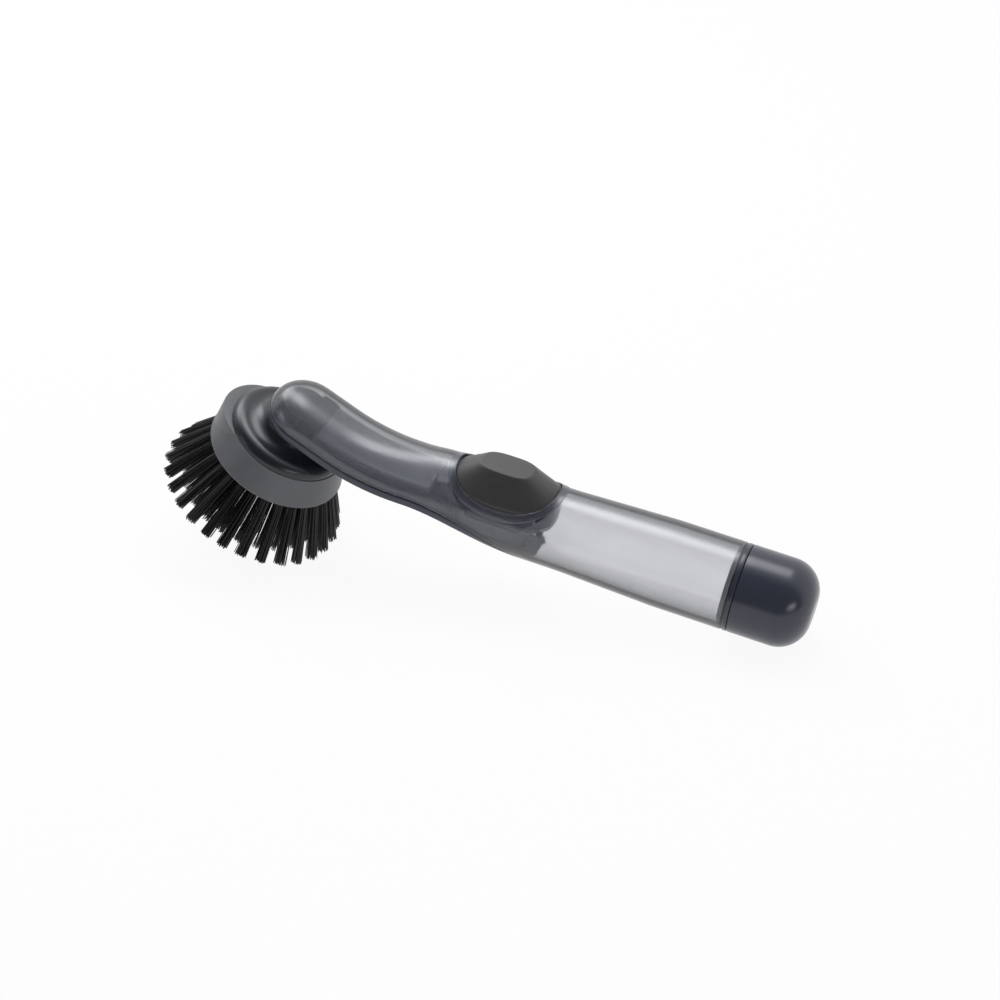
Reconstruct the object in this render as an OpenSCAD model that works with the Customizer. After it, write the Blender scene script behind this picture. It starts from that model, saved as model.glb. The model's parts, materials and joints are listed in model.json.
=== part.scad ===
// Soap-dispensing dish wand, lying on its end cap and its bristle tips.
// The handle axis runs through the collar seam. +X points to the end cap and z = 0 is the table.
// Along the handle and neck, u is the distance from the collar seam towards the brush.

/* [Handle] */
// Outer radius of the handle at the collar
handle_r = 16.5; // [16:0.1:17.5]
// Outer radius of the grip beside the button
grip_r = 15.2; // [15:0.1:15.8]
// Where the handle starts to narrow from handle_r to grip_r
taper_from = 26; // [16:1:34]
// Where the handle has narrowed to grip_r
taper_len = 64; // [52:1:66]
// Wall of the clear shell
shell_wall = 2; // [1.7:0.1:2.1]

/* [Neck] */
// Distance from the collar seam to the start of the bend
bend_start = 126; // [124:1:132]
// Radius of the bend, along the centre line
bend_r = 88; // [76:1:100]
// Angle between the handle and the brush
bend_angle = 20.9; // [18:0.1:24]
// Straight length from the end of the bend to the brush axis
neck_reach = 16; // [14:0.5:20]
// How far the nose reaches past the brush axis
nose_reach = 12.6; // [11:0.1:13.2]
// Height of the dome above the centre line, over the brush
neck_up = 12; // [11.6:0.1:12.4]
// Depth by which the top drops behind the button
neck_dip = 1.1; // [0.6:0.1:1.4]
// Squareness of the dome's section, where 2 is an ellipse
neck_square = 2.6; // [2.2:0.1:2.8]

/* [Neck base] */
// Thickness of the plate that closes the neck from below
base_t = 3.2; // [2.8:0.1:3.6]
// Depth of the plate's lower face under the centre line
base_drop = 1.4; // [1.2:0.1:1.8]
// Where the underside starts to rise out of the round grip
belly_start = 58; // [56:1:60]
// Where the underside has finished rising
belly_end = 124; // [122:1:126]
// Where the plate's thin rear edge starts
base_from = 68; // [67:1:70]
// Where the plate has its full thickness
base_full = 100; // [98:1:104]
// Gap in the seam between the shell and the plate
seam_gap = 0.06; // [0.04:0.01:0.12]

/* [Button] */
// Distance from the collar seam to the middle of the button
button_u = 89.2; // [88.8:0.1:89.6]
// Length of the button at its foot
button_len = 38.4; // [37.6:0.1:39]
// Width of the button at its foot
button_w = 25.8; // [25.2:0.1:26]
// Height of the button's top facet above the handle axis
button_top = 19.8; // [19:0.1:21]
// Length of the top facet
facet_len = 19.6; // [17:0.1:22]
// Width of the top facet
facet_w = 12.2; // [11:0.1:13.4]
// Wall of the button
button_wall = 1.8; // [1.4:0.1:2.2]
// How far the button is pressed in
button_travel = 3.2; // [2.5:0.1:3.4]
// Gap between the button and the bezel
button_gap = 0.3; // [0.25:0.05:0.4]
// How far the bezel's lip reaches past the button's gap
bezel_land = 1.3; // [1.1:0.1:1.4]
// How far the lip stands above the grip
bezel_proud = 0.6; // [0.5:0.1:0.8]

/* [Pump] */
// Floor and wall thickness of the pump cup
cup_wall = 1.5; // [1.3:0.1:1.8]
// Depth of the pump cup's floor below the handle axis
cup_depth = 9.6; // [9:0.1:10]
// Radius of the inlet valve's disc
inlet_r = 2.4; // [2.3:0.1:2.5]
// How far the inlet valve lifts
inlet_lift = 1; // [0.6:0.1:1]
// Outer width of the soap duct
duct_w = 20; // [17:0.5:20.5]
// Outer height of the soap duct
duct_h = 4.4; // [4:0.1:4.6]
// Wall of the soap duct
duct_wall = 1.2; // [1:0.1:1.4]

/* [Collar and cap] */
// Thickness of the collar's dark flange
collar_t = 2.4; // [2:0.1:3]
// Radius of the filling mouth
mouth_r = 10.6; // [10:0.1:10.9]
// Length of the threaded neck past the flange
mouth_len = 12.6; // [12:0.1:14]
// Length of the end cap
cap_len = 27.6; // [26.6:0.1:30]
// Radius of the rounding at the cap's end
cap_round = 11.8; // [10.5:0.1:12.2]
// Wall of the cap
cap_wall = 2.2; // [2:0.1:2.4]
// Travel of the cap's thread in one turn
cap_lead = 4; // [3.8:0.1:4.4]
// Gap between the cap and the flange
cap_gap = 0.2; // [0.15:0.05:0.3]

/* [Brush head] */
// Distance from the neck's centre line to the ring's lower edge
brush_drop = 21.5; // [21.2:0.1:22.5]
// Radius of the ring at its lower edge
ring_r = 27; // [26.6:0.1:28]
// Height of the ring
ring_h = 10.9; // [10.6:0.1:11.2]
// Radius of the ring at its upper edge
ring_top_r = 23.3; // [23:0.1:24]
// Reach of the scraper lip in front of the brush axis
scraper_reach = 27.3; // [26:0.1:28.5]
// Radius of the scraper lip's edge
scraper_r = 19; // [17:0.5:20]
// Travel of the head's quick thread in one turn
head_lead = 16; // [14:0.5:18]
// Radius of the spigot that the head screws on
spigot_r = 7.6; // [7.4:0.1:7.8]

/* [Bristles] */
// Rows of tufts: tufts in the row, radius at the plate, radius at the tips, tip depth and strands a tuft
rows = [[28, 21.2, 34.9, 23.2, 7], [22, 16.4, 26.5, 24.6, 5], [15, 11.6, 17.5, 25.2, 5]];
// Radius of a tuft at the plate
tuft_r = 1.75; // [1.6:0.05:1.8]
// Radius of a tuft at its tips
tuft_tip_r = 2.2; // [1.9:0.1:2.5]
// Radius of one strand
strand_r = 0.5; // [0.4:0.02:0.52]
// How much longer or shorter than its tuft a strand can be
tip_trim = 0.4; // [0.2:0.05:0.5]
// Depth to which the longest tips are pressed flat where the wand stands on them
stand_flat = 0.5; // [0.3:0.1:0.8]

/* [Hidden] */
$fn = 64;

// Small fits
face_gap = 0.1;
slip_gap = 0.3;
seat_gap = 0.05;

// Places along the neck
bend_end = bend_start + bend_r * bend_angle * PI / 180;
head_u = bend_end + neck_reach;
nose_u = head_u + nose_reach - grip_r;
join_u = 112;
join_lap = 2;
join_inset = 0.06;
neck_steps = 11;
nose_angles = [18, 34, 48, 60, 71, 80];
ring_sides = 36;
edge_t = 0.4;
far = 60;

// Collar and cap, from the seam towards the cap
plug_r = handle_r - 2.3;
plug_len = 1.8;
bore_r = plug_r + face_gap;
washer_t = 0.6;
flange_from = washer_t + 2 * seat_gap;
mouth_end = collar_t + mouth_len;
cap_from = collar_t + cap_gap;
cap_end = cap_from + cap_len;
cap_round_x = cap_end - cap_round;
cap_flat_r = handle_r - cap_round;
cap_bore_r = handle_r - cap_wall;
neck_r = cap_bore_r - 1.7;
thread_w = 1.4;
thread_clear = 0.6;
cap_thread_turns = 1.25;
cap_thread_from = collar_t + 3.8;
liner_t = 1.4;
liner_from = mouth_end + seat_gap;
press_r = (mouth_r + neck_r) / 2 - 0.4;
press_reach = sqrt(pow(cap_round - cap_wall / 2, 2) - pow(press_r - cap_flat_r, 2));

// Button and bezel outlines, from half lengths
foot = [button_len / 2, button_w / 2];
hole = foot + [button_gap, button_gap];
plug_out = hole + [1.1, 0.6];
shell_hole = plug_out + [0.2, 0.2];
lip_out = hole + [2 * bezel_land + 0.2, bezel_land];
brim_r = grip_r + bezel_proud + 0.3;
foot_square = 2.8;
facet_square = 3;
facet_round = 0.4;
facet_shift = -1;
brim_drop = 1.3;

// Pump levels, above or below the handle axis
rim_z = 3.4;
bead_t = 0.9;
plug_z = rim_z + bead_t + 2 * seat_gap;
foot_z = rim_z + bead_t + button_travel;
cup_out = [plug_out[0] - 0.2, foot[1] + 0.2];
cup_r = grip_r - shell_wall - slip_gap;
well = [18.5, 9.6];
well_u = button_u + 6.5;
well_z = -2;
inlet_u = well_u - well[0] + cup_wall;
tray_from = well_u - well[0] + 0.3;
tray = [(cup_out[0] - 0.6 + button_u - tray_from) / 2, cup_out[1] + 0.4];
tray_u = tray_from + tray[0];
pump_floor = max(seam(inlet_u) + slip_gap, -cup_depth) + cup_wall;
inlet_z = pump_floor + inlet_r + slip_gap;
stem_r = 0.95;
outlet_from = button_u + plug_out[0] + 0.4;
snout_end = outlet_from + 5.2;
port_r = 1.9;
duct_z = base_t - base_drop + face_gap + duct_h / 2;
duct_from = snout_end + face_gap;
elbow_r = 9;
elbow_face = elbow_r + 0.2;
gasket_t = 0.9;
duct_to = head_u - elbow_face - gasket_t - 2 * seat_gap;

// Brush head levels, above the ring's lower edge
base_z = brush_drop - base_drop;
hub_top = base_z - face_gap;
hub_wall = 1.8;
hub_r = ring_top_r - 0.5;
hub_round = 3;
hub_neck = 12;
hub_from = ring_h + 0.2;
plate_from = 2.3;
plate_to = 6;
slice_from = 1.5;
slice_t = plate_from - slice_from - face_gap;
plate_r = 23.7;
bore_low_r = 25.3;
ledge_r = 20.5;
seal_t = 0.7;
spigot_to = plate_to + seal_t + 3 * seat_gap;
collar_bore = spigot_r + 1.7;
head_rib = 1.25;
head_rib_lift = 1.65;
rib_starts = 3;
stub_r = 4.8;
stub_to = spigot_to + 7.6;

// Strands
anchor = [2.6, 0.5, 1.4];
tuft_hole_r = tuft_r + 0.1;
tuft_hole_depth = 2.6;

// Resting pose: the table touches the cap's rounding and presses the lowest tips flat
function head_point(x, z) = across(head_u, z - brush_drop) + x * [cos(bend_angle), -sin(bend_angle)];
lowest_tip = head_point(rows[0][2] * cos(180 / rows[0][0]) + strand_r, -rows[0][3]);
cap_ball = [cap_round_x, -cap_flat_r];
ball_to_tip = cap_ball - lowest_tip;
pitch = atan2(ball_to_tip[1], ball_to_tip[0])
    - asin((cap_round + stand_flat - tip_trim) / norm(ball_to_tip));
seam_z = cap_round + cap_ball[0] * sin(pitch) - cap_ball[1] * cos(pitch);
x_low = min([for (s = strands_of(rows[0]), p = s) let (q = head_point(p[0], p[2]))
    q[0] * cos(pitch) + q[1] * sin(pitch)]);
x_high = cap_round_x * cos(pitch) + cap_flat_r * sin(pitch) + cap_round;
seam_x = -(x_low + x_high) / 2;

// Smooth step from 0 to 1
function smooth(t) = let (k = min(1, max(0, t))) k * k * (3 - 2 * k);

// Slope of the centre line in degrees, and the centre line itself
function turn(u) = min(bend_angle, max(0, (u - bend_start) / bend_r * 180 / PI));
function centre(u) = let (
        a = turn(u),
        run = max(0, u - bend_start - bend_r * a * PI / 180))
    [-min(u, bend_start) - bend_r * sin(a) - run * cos(a), bend_r * (1 - cos(a)) + run * sin(a)];
function across(u, d) = centre(u) + d * [sin(turn(u)), cos(turn(u))];

// Underside of the neck, and the seam between shell and plate, measured from the centre line
function belly(u) = -grip_r + (grip_r - base_drop) * smooth((u - belly_start) / (belly_end - belly_start));
function plate(u) = max(edge_t, base_t * smooth((u - belly_start - 4) / (base_full - belly_start - 4)));
function seam(u) = belly(u) + plate(u);

// Height of the dome above the centre line, and the squareness of its section
function dome(u) = grip_r - neck_dip * smooth((u - join_u) / 12)
    + (neck_up + neck_dip - grip_r) * smooth((u - join_u) / (bend_end - join_u));
function square_at(u) = 2 + (neck_square - 2) * smooth((u - join_u) / (bend_end - join_u));

// One section of the neck, inset from the outer surface
function neck_section(u, inset, open) = let (
        r = grip_r - inset,
        du = max(0, u - nose_u),
        w = sqrt(r * r - du * du),
        q = square_at(u),
        low = open ? -r : belly(u) + inset)
    [for (i = [0 : ring_sides - 1]) let (
        a = 360 * i / ring_sides,
        y = w * cos(a),
        rise = pow(max(0, 1 - pow(norm([du, y]) / r, q)), 1 / q),
        z = a <= 180 ? (dome(u) - inset) * rise : max(r * sin(a), low),
        p = across(u, z))
        [p[0], y, p[1]]];

// Where the neck's sections lie
function neck_places(inset) = concat(
    [for (i = [0 : neck_steps]) join_u + (nose_u - join_u) * i / neck_steps],
    [for (a = nose_angles) nose_u + (grip_r - inset) * sin(a)]);

// Rounded rectangle outline with half sizes a and b
function squircle(size, n, count = 48) = [for (i = [0 : count - 1]) let (
        c = cos(360 * i / count),
        s = sin(360 * i / count))
    [size[0] * sign(c) * pow(abs(c), 2 / n), size[1] * sign(s) * pow(abs(s), 2 / n)]];

// Frames: the handle's, a place on the centre line, the brush head's and the button's
module on_handle() {
    translate([seam_x, 0, seam_z]) rotate([0, pitch, 0]) children();
}

module on_path(u) {
    p = centre(u);
    translate([p[0], 0, p[1]]) rotate([0, turn(u), 0]) children();
}

module on_head() {
    on_handle() on_path(head_u) translate([0, 0, -brush_drop]) children();
}

module on_button() {
    translate([-button_u, 0, 0]) children();
}

// Turns +Z to +X, for pieces round the handle axis
module on_axis() {
    rotate([0, 90, 0]) children();
}

// Closed solid through rings of points
module skin(rings) {
    m = len(rings[0]);
    n = len(rings);
    top = floor(m / 4);
    sides = [for (i = [0 : n - 2], j = [0 : m - 1]) let (
            a = i * m + j,
            b = i * m + (j + 1) % m)
        each [[a, b, a + m], [b, b + m, a + m]]];
    start = [for (j = [1 : m - 2]) [top, (top + j + 1) % m, (top + j) % m]];
    end = (n - 1) * m * [1, 1, 1];
    finish = [for (j = [1 : m - 2]) end + [top, (top + j) % m, (top + j + 1) % m]];
    polyhedron(points = [for (r = rings) each r], faces = concat(start, sides, finish));
}

// Prism with upright walls over an outline, between two heights
module prism(size, n, low, high) {
    translate([0, 0, low]) linear_extrude(high - low) polygon(squircle(size, n));
}

// All that lies above the plate's seam, raised by a gap
module above_seam(gap) {
    line = [for (u = [base_from : 4 : head_u + 28]) across(u, seam(u) + gap)];
    start = line[0];
    rotate([90, 0, 0]) linear_extrude(far, center = true)
        polygon(concat([[far, far], [far, -far], [start[0], -far]], line, [[-head_u - far, far]]));
}

// All that lies under the plate's seam
module below_seam(gap) {
    line = [for (u = [base_from : 4 : head_u + 28]) across(u, seam(u) - gap)];
    start = line[0];
    rotate([90, 0, 0]) linear_extrude(far, center = true)
        polygon(concat([[start[0], -far]], line, [[-head_u - far, -far]]));
}

// All that lies under the flat underside of the grip
module below_belly() {
    line = [for (u = [belly_start : 4 : join_u + 4]) across(u, belly(u))];
    rotate([90, 0, 0]) linear_extrude(far, center = true)
        polygon(concat([[-belly_start + 1, -far]], line, [[-join_u - 5, -far]]));
}

// Outer form of the handle and neck
module outer_form() {
    difference() {
        rotate([0, -90, 0]) union() {
            cylinder(h = taper_from, r = handle_r);
            translate([0, 0, taper_from]) cylinder(h = taper_len - taper_from, r1 = handle_r, r2 = grip_r);
            translate([0, 0, taper_len]) cylinder(h = join_u - taper_len, r = grip_r);
        }
        below_belly();
    }
    skin(concat(
        [neck_section(join_u - join_lap, join_inset, false), neck_section(join_u, join_inset, false)],
        [for (u = neck_places(0)) if (u > join_u) neck_section(u, 0, false)]));
}

// Space inside the shell
module inner_form() {
    inner_r = grip_r - shell_wall;
    rotate([0, -90, 0]) union() {
        translate([0, 0, -1]) cylinder(h = taper_from + 1, r = bore_r);
        translate([0, 0, taper_from]) cylinder(h = taper_len - taper_from, r1 = bore_r, r2 = inner_r);
        translate([0, 0, taper_len]) cylinder(h = join_u - taper_len, r = inner_r);
    }
    inset = shell_wall;
    skin(concat(
        [for (u = [join_u - join_lap, join_u]) neck_section(u, inset + join_inset, true)],
        [for (u = neck_places(inset)) if (u > join_u) neck_section(u, inset, true)]));
}

// Clear shell: tube with a domed neck that is open below
module handle_shell() {
    color([0.72, 0.73, 0.76, 0.5]) on_handle() difference() {
        intersection() {
            difference() {
                outer_form();
                inner_form();
            }
            above_seam(0);
        }
        on_button() prism(shell_hole, foot_square, 2, far);
    }
}

// Plate that closes the neck and grip from below
module neck_base() {
    color([0.3, 0.31, 0.34]) difference() {
        on_handle() intersection() {
            outer_form();
            below_seam(seam_gap);
        }
        on_head() cylinder(h = brush_drop + far, r = stub_r + 0.2);
    }
}

// Ring that frames the button, with a lip over the shell's opening
module button_bezel() {
    color([0.45, 0.46, 0.49, 0.8]) on_handle() difference() {
        union() {
            intersection() {
                grip_band(grip_r + seat_gap, grip_r + bezel_proud);
                on_button() prism(lip_out, foot_square, rim_z, far);
            }
            intersection() {
                grip_bar(grip_r + bezel_proud / 2);
                on_button() prism(plug_out, foot_square, plug_z, far);
            }
        }
        on_button() prism(hole, foot_square, 0, far);
    }
}

// Bar and tube round the handle axis beside the button
module grip_bar(r, extra = 0) {
    length = 2 * lip_out[0] + 14 + extra;
    translate([-button_u - length / 2, 0, 0]) on_axis() cylinder(h = length, r = r);
}

module grip_band(inner, outer) {
    difference() {
        grip_bar(outer);
        grip_bar(inner, 2);
    }
}

// One level of the button, as a ring of points that runs clockwise from above
function button_ring(size, n, z, shift) = let (outline = squircle(size, n, 40))
    [for (i = [39 : -1 : 0]) [outline[i][0] + shift, outline[i][1], z]];

// Rings of the button's hump, inset by a wall; its brim follows the curve of the bezel
function button_rings(inset) = let (
        facet = [facet_len / 2, facet_w / 2] - [inset, inset] / 2,
        side = foot - [inset, inset],
        top = button_top - inset,
        skirt = button_ring(side, foot_square, foot_z - (inset > 0 ? 1 : 0), 0))
    [skirt,
    [for (p = skirt)
        [p[0], p[1], sqrt(pow(brim_r - inset, 2) - pow(p[1], 2)) - brim_drop * pow(p[0] / side[0], 2)]],
    button_ring(facet + 1.5 * [facet_round, facet_round], facet_square, top - facet_round, facet_shift),
    button_ring(facet, facet_square, top, facet_shift)];

// Hollow rubber hump with a flat top facet
module squeeze_button() {
    color([0.23, 0.21, 0.21]) on_handle() on_button() difference() {
        skin(button_rings(0));
        skin(button_rings(button_wall));
    }
}

// Thin flexing edge of the button, clamped under the bezel
module button_diaphragm() {
    color([0.2, 0.19, 0.19]) on_handle() on_button() {
        wall = [0.8, 0.8];
        difference() {
            union() {
                prism(cup_out, foot_square, rim_z + seat_gap, rim_z + seat_gap + bead_t);
                prism(foot, foot_square, rim_z + bead_t, foot_z - face_gap);
            }
            prism(foot - wall, foot_square, 0, far);
        }
    }
}

// Cup under the button, with the inlet in its floor and the outlet in its snout
module pump_cup() {
    color([0.36, 0.37, 0.4]) on_handle() difference() {
        intersection() {
            union() {
                intersection() {
                    union() {
                        on_button() prism(cup_out, foot_square, rim_z - cup_wall, rim_z);
                        translate([-tray_u, 0, 0]) prism(tray, foot_square, well_z - cup_wall, rim_z);
                    }
                    grip_bar(cup_r);
                }
                translate([-well_u, 0, 0]) prism(well, 4, -cup_depth, well_z);
                snout(outlet_from - 6, rim_z);
                snout(outlet_from, duct_z + 2.8);
            }
            above_seam(slip_gap);
        }
        intersection() {
            union() {
                translate([-tray_u, 0, 0]) prism(tray - [cup_wall, cup_wall], foot_square, well_z, far);
                translate([-well_u, 0, 0]) prism(well - [cup_wall, cup_wall], 4, cup_wall - cup_depth, 0);
            }
            grip_bar(cup_r - cup_wall);
            above_seam(slip_gap + cup_wall);
        }
        translate([-inlet_u - 1, 0, inlet_z]) on_axis() {
            cylinder(h = cup_wall + 2, r = stem_r + 0.1);
            for (a = [45 : 90 : 315])
                rotate([0, 0, a]) translate([1.65, 0, 0]) cylinder(h = cup_wall + 2, r = 0.45);
        }
        translate([-outlet_from - 1.2, 0, rim_z - 1.2]) {
            on_axis() cylinder(h = 12, r = 0.7);
            cylinder(h = duct_z - rim_z + 1.2, r = 0.7);
        }
        translate([-snout_end - 1, 0, duct_z]) on_axis()
            cylinder(h = snout_end + 1 - outlet_from - 0.8, r = port_r);
    }
}

// Block in front of the pump cup, up to a height
module snout(from, high) {
    translate([-snout_end, -5, -3]) cube([snout_end - from, 10, high + 3]);
}

// Mushroom valve that lets soap from the tank into the pump cup
module inlet_valve() {
    color([0.85, 0.85, 0.82]) on_handle() translate([-inlet_u - face_gap, 0, inlet_z]) rotate([0, -90, 0]) {
        cylinder(h = 0.7, r = inlet_r);
        translate([0, 0, -cup_wall - inlet_lift - 0.9]) cylinder(h = cup_wall + inlet_lift + 1, r = stem_r);
        translate([0, 0, -cup_wall - inlet_lift - 0.9]) cylinder(h = 0.7, r = stem_r + 0.3);
    }
}

// Duckbill valve that keeps soap from flowing back
module outlet_valve() {
    color([0.85, 0.85, 0.82]) on_handle() translate([-outlet_from - 2.2, 0, duct_z])
        rotate([0, -90, 0]) difference() {
            union() {
                cylinder(h = 2.6, r = port_r - 0.1);
                translate([-0.5, -1.6, 0]) cube([1, 3.2, 6]);
            }
            translate([0, 0, -1]) cylinder(h = 2.6, r = 1.1);
            translate([-0.15, -1.1, 1]) cube([0.3, 2.2, 6]);
        }
}

// Flat duct along the bend, from the pump to the elbow
module soap_duct() {
    color([0.3, 0.31, 0.34]) on_handle() difference() {
        duct_run(duct_w, duct_h, 0);
        duct_run(duct_w - 2 * duct_wall, duct_h - 2 * duct_wall, 1);
    }
}

// Rectangle swept along the centre line, lengthened at both ends
module duct_run(w, h, extra) {
    run = concat([duct_from - extra],
        [for (i = [0 : 10]) bend_start + (bend_end - bend_start) * i / 10], [duct_to + extra]);
    rotate([90, 0, 0]) linear_extrude(w, center = true) polygon(concat(
        [for (u = run) across(u, duct_z - h / 2)],
        [for (i = [len(run) - 1 : -1 : 0]) across(run[i], duct_z + h / 2)]));
}

// Frame seal between the duct and the elbow
module duct_gasket() {
    color([0.12, 0.12, 0.13]) on_handle() on_path(head_u)
        translate([elbow_face + seat_gap, 0, duct_z]) difference() {
            translate([0, -duct_w / 2, -duct_h / 2]) cube([gasket_t, duct_w, duct_h]);
            translate([-1, duct_wall - duct_w / 2, duct_wall - duct_h / 2])
                cube([gasket_t + 2, duct_w - 2 * duct_wall, duct_h - 2 * duct_wall]);
        }
}

// Round chamber over the brush that turns the soap down through the neck base
module outlet_elbow() {
    low = duct_z - duct_h / 2;
    high = duct_z + duct_h / 2 + 0.4;
    color([0.2, 0.21, 0.25]) on_handle() on_path(head_u) difference() {
        union() {
            translate([0, 0, low]) cylinder(h = high - low - 1, r = elbow_r);
            translate([0, 0, high - 1]) cylinder(h = 1, r1 = elbow_r, r2 = elbow_r - 1);
            translate([3, -duct_w / 2, low]) cube([elbow_face - 3, duct_w, high - low]);
            translate([0, 0, stub_to - brush_drop]) cylinder(h = low + brush_drop - stub_to + 1, r = stub_r);
        }
        translate([0, 0, duct_z - duct_h / 2 + duct_wall]) {
            cylinder(h = duct_h - 2 * duct_wall, r = elbow_r - 1.5);
            translate([0, duct_wall - duct_w / 2, 0])
                cube([elbow_face + 1, duct_w - 2 * duct_wall, duct_h - 2 * duct_wall]);
        }
        translate([0, 0, stub_to - brush_drop - 1]) cylinder(h = duct_z + brush_drop - stub_to + 1, r = 2.6);
        translate([0, 0, stub_to - brush_drop + 2]) rotate_extrude()
            translate([stub_r - 0.8, 0]) square([2, 1.6]);
    }
}

// Ring seal round the elbow's stub
module elbow_seal() {
    color([0.12, 0.12, 0.13]) on_head() translate([0, 0, stub_to + 2.8])
        rotate_extrude() translate([stub_r - 0.3, 0]) circle(r = 0.45, $fn = 24);
}

// Bell under the neck, with the spigot that the brush head screws on
module head_hub() {
    color([0.17, 0.18, 0.22]) on_head() {
        difference() {
            hub_form(0);
            hub_form(hub_wall);
            translate([0, 0, hub_top - 5]) cylinder(h = 10, r = stub_r + 0.2);
        }
        difference() {
            translate([0, 0, spigot_to]) cylinder(h = hub_top - spigot_to, r = spigot_r);
            translate([0, 0, spigot_to - 1]) cylinder(h = 20, r = 3);
            translate([0, 0, stub_to - seat_gap]) cylinder(h = 20, r = stub_r + 0.2);
        }
        for (i = [0 : rib_starts - 1])
            thread(spigot_r - 0.4, spigot_r + head_rib, head_lead, 0.14, spigot_to + 1.2, 360 * i / rib_starts);
    }
}

// Bell shape, shrunk by a wall: a rim, a rounded shoulder and a flare up to a short neck
module hub_form(wall) {
    low = hub_from - (wall > 0 ? 1 : 0);
    corner = [hub_r - hub_round, hub_from + 0.4];
    flare = [corner[0] - hub_neck, hub_top - corner[1] - hub_round];
    rotate_extrude() difference() {
        union() {
            translate([0, low]) square([hub_r - wall, corner[1] - low]);
            translate([0, corner[1]]) square([corner[0], hub_top - wall - corner[1]]);
            intersection() {
                translate(corner) circle(r = hub_round - wall);
                translate(corner) square(hub_round);
            }
        }
        translate([corner[0], hub_top]) scale(flare + [wall, wall]) circle(r = 1, $fn = 72);
    }
}

// Helical rib with blunt ends, outwards from a post or inwards from a bore
module thread(base, crest, lead, turns, from, phase) {
    steps = ceil(turns * 32);
    rise = abs(crest - base) * 0.3;
    out = crest > base;
    skin([for (k = [0 : steps]) let (
            a = phase + 360 * turns * k / steps,
            z = from + lead * turns * k / steps,
            half = thread_w / 2,
            ring = [[base, z - half - rise], [crest, z - half], [crest, z + half], [base, z + half + rise]])
        [for (i = [0 : 3]) let (p = ring[out ? i : 3 - i]) [p[0] * cos(a), p[0] * sin(a), p[1]]]]);
}

// Washer between the spigot and the brush head
module head_seal() {
    color([0.12, 0.12, 0.13]) on_head() translate([0, 0, plate_to + seat_gap]) difference() {
        cylinder(h = seal_t, r = spigot_r + 0.6);
        translate([0, 0, -1]) cylinder(h = seal_t + 2, r = 3.4);
    }
}

// Ring round the bristles, with a scraper lip at the front
module head_ring() {
    color([0.3, 0.3, 0.33]) on_head() difference() {
        hull() {
            cylinder(h = 0.6, r = ring_r, $fn = 60);
            translate([0, 0, ring_h - 0.6]) cylinder(h = 0.6, r = ring_top_r, $fn = 60);
            translate([scraper_r - scraper_reach, 0, ring_h - 0.6]) cylinder(h = 0.6, r = scraper_r, $fn = 60);
        }
        translate([0, 0, -1]) cylinder(h = 5.5, r1 = bore_low_r + 0.3, r2 = plate_r + 0.3);
        translate([0, 0, 4.4]) cylinder(h = plate_to + face_gap - 4.4, r = plate_r + 0.2);
        cylinder(h = ring_h + 1, r = ledge_r);
    }
}

// Plate that holds the tufts, with the threaded socket for the spigot
module bristle_plate() {
    color([0.27, 0.27, 0.3]) on_head() difference() {
        union() {
            translate([0, 0, plate_from]) cylinder(h = plate_to - plate_from, r = plate_r);
            translate([0, 0, plate_to - 1]) difference() {
                cylinder(h = 10, r = collar_bore + 2);
                translate([0, 0, 1]) cylinder(h = 10, r = collar_bore);
            }
            for (i = [0 : rib_starts - 1])
                thread(collar_bore + 0.4, collar_bore - head_rib, head_lead, 0.14,
                    spigot_to + 1.2 + head_rib_lift, 360 * i / rib_starts);
        }
        translate([0, 0, plate_from - 1]) cylinder(h = 2.6, r = 6.2);
        cylinder(h = plate_to + 1, r = 3.4);
        for (row = rows, i = [0 : row[0] - 1])
            rotate([0, 0, 360 * (i + 0.5) / row[0]]) translate([row[1], 0, plate_from - 1])
                cylinder(h = tuft_hole_depth + 1, r = tuft_hole_r);
    }
}

// Cross-slit valve that stops soap from dripping between presses
module drip_valve() {
    color([0.85, 0.85, 0.82]) on_head() translate([0, 0, plate_from + 1.6 - 0.9]) difference() {
        union() {
            cylinder(h = 0.85, r = 6);
            translate([0, 0, -0.7]) cylinder(h = 1, r = 2.6);
        }
        for (a = [0, 90]) rotate([0, 0, a]) translate([-2, -0.15, -1]) cube([4, 0.3, 4]);
    }
}

// Snap ring that holds the drip valve in the plate
module valve_retainer() {
    color([0.27, 0.27, 0.3]) on_head() translate([0, 0, plate_from - 0.5]) difference() {
        cylinder(h = 1.15, r = 6.1);
        translate([0, 0, -1]) cylinder(h = 4, r = 3.6);
    }
}

// Offsets of a tuft's strands across the tuft, scaled by its radius
function tuft_places(count) = concat([[0, 0]],
    [for (k = [0 : count - 2]) [cos(360 * k / (count - 1)), sin(360 * k / (count - 1))]]);

// Corner points of one three-sided strand, at its foot and at its tip
function strand(row, a, place) = let (
        lean = atan2(row[2] - row[1], row[3] + slice_from),
        trim = tip_trim * sin(211 * place[0] + 97 * place[1] * sign(sin(a)) + 31 * min(a, 360 - a)),
        foot_at = row[1] + (tuft_r - strand_r) * place[0],
        foot_side = (tuft_r - strand_r) * place[1],
        tip_at = row[2] + (tuft_tip_r - strand_r) * place[0] * cos(lean) - trim * sin(lean),
        tip_side = (tuft_tip_r - strand_r) * place[1],
        tip_z = trim * cos(lean) - row[3] + (tuft_tip_r - strand_r) * place[0] * sin(lean),
        ends = [[foot_at, foot_side, slice_from + 0.4], [tip_at, tip_side, tip_z]])
    [for (e = ends, c = [0 : 2]) let (
        x = e[0] + strand_r * cos(120 * c),
        y = e[1] + strand_r * sin(120 * c))
        [x * cos(a) - y * sin(a), x * sin(a) + y * cos(a), e[2]]];

// All strands of a row
function strands_of(row) = [for (i = [0 : row[0] - 1], place = tuft_places(row[4]))
    strand(row, 360 * (i + 0.5) / row[0], place)];

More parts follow.
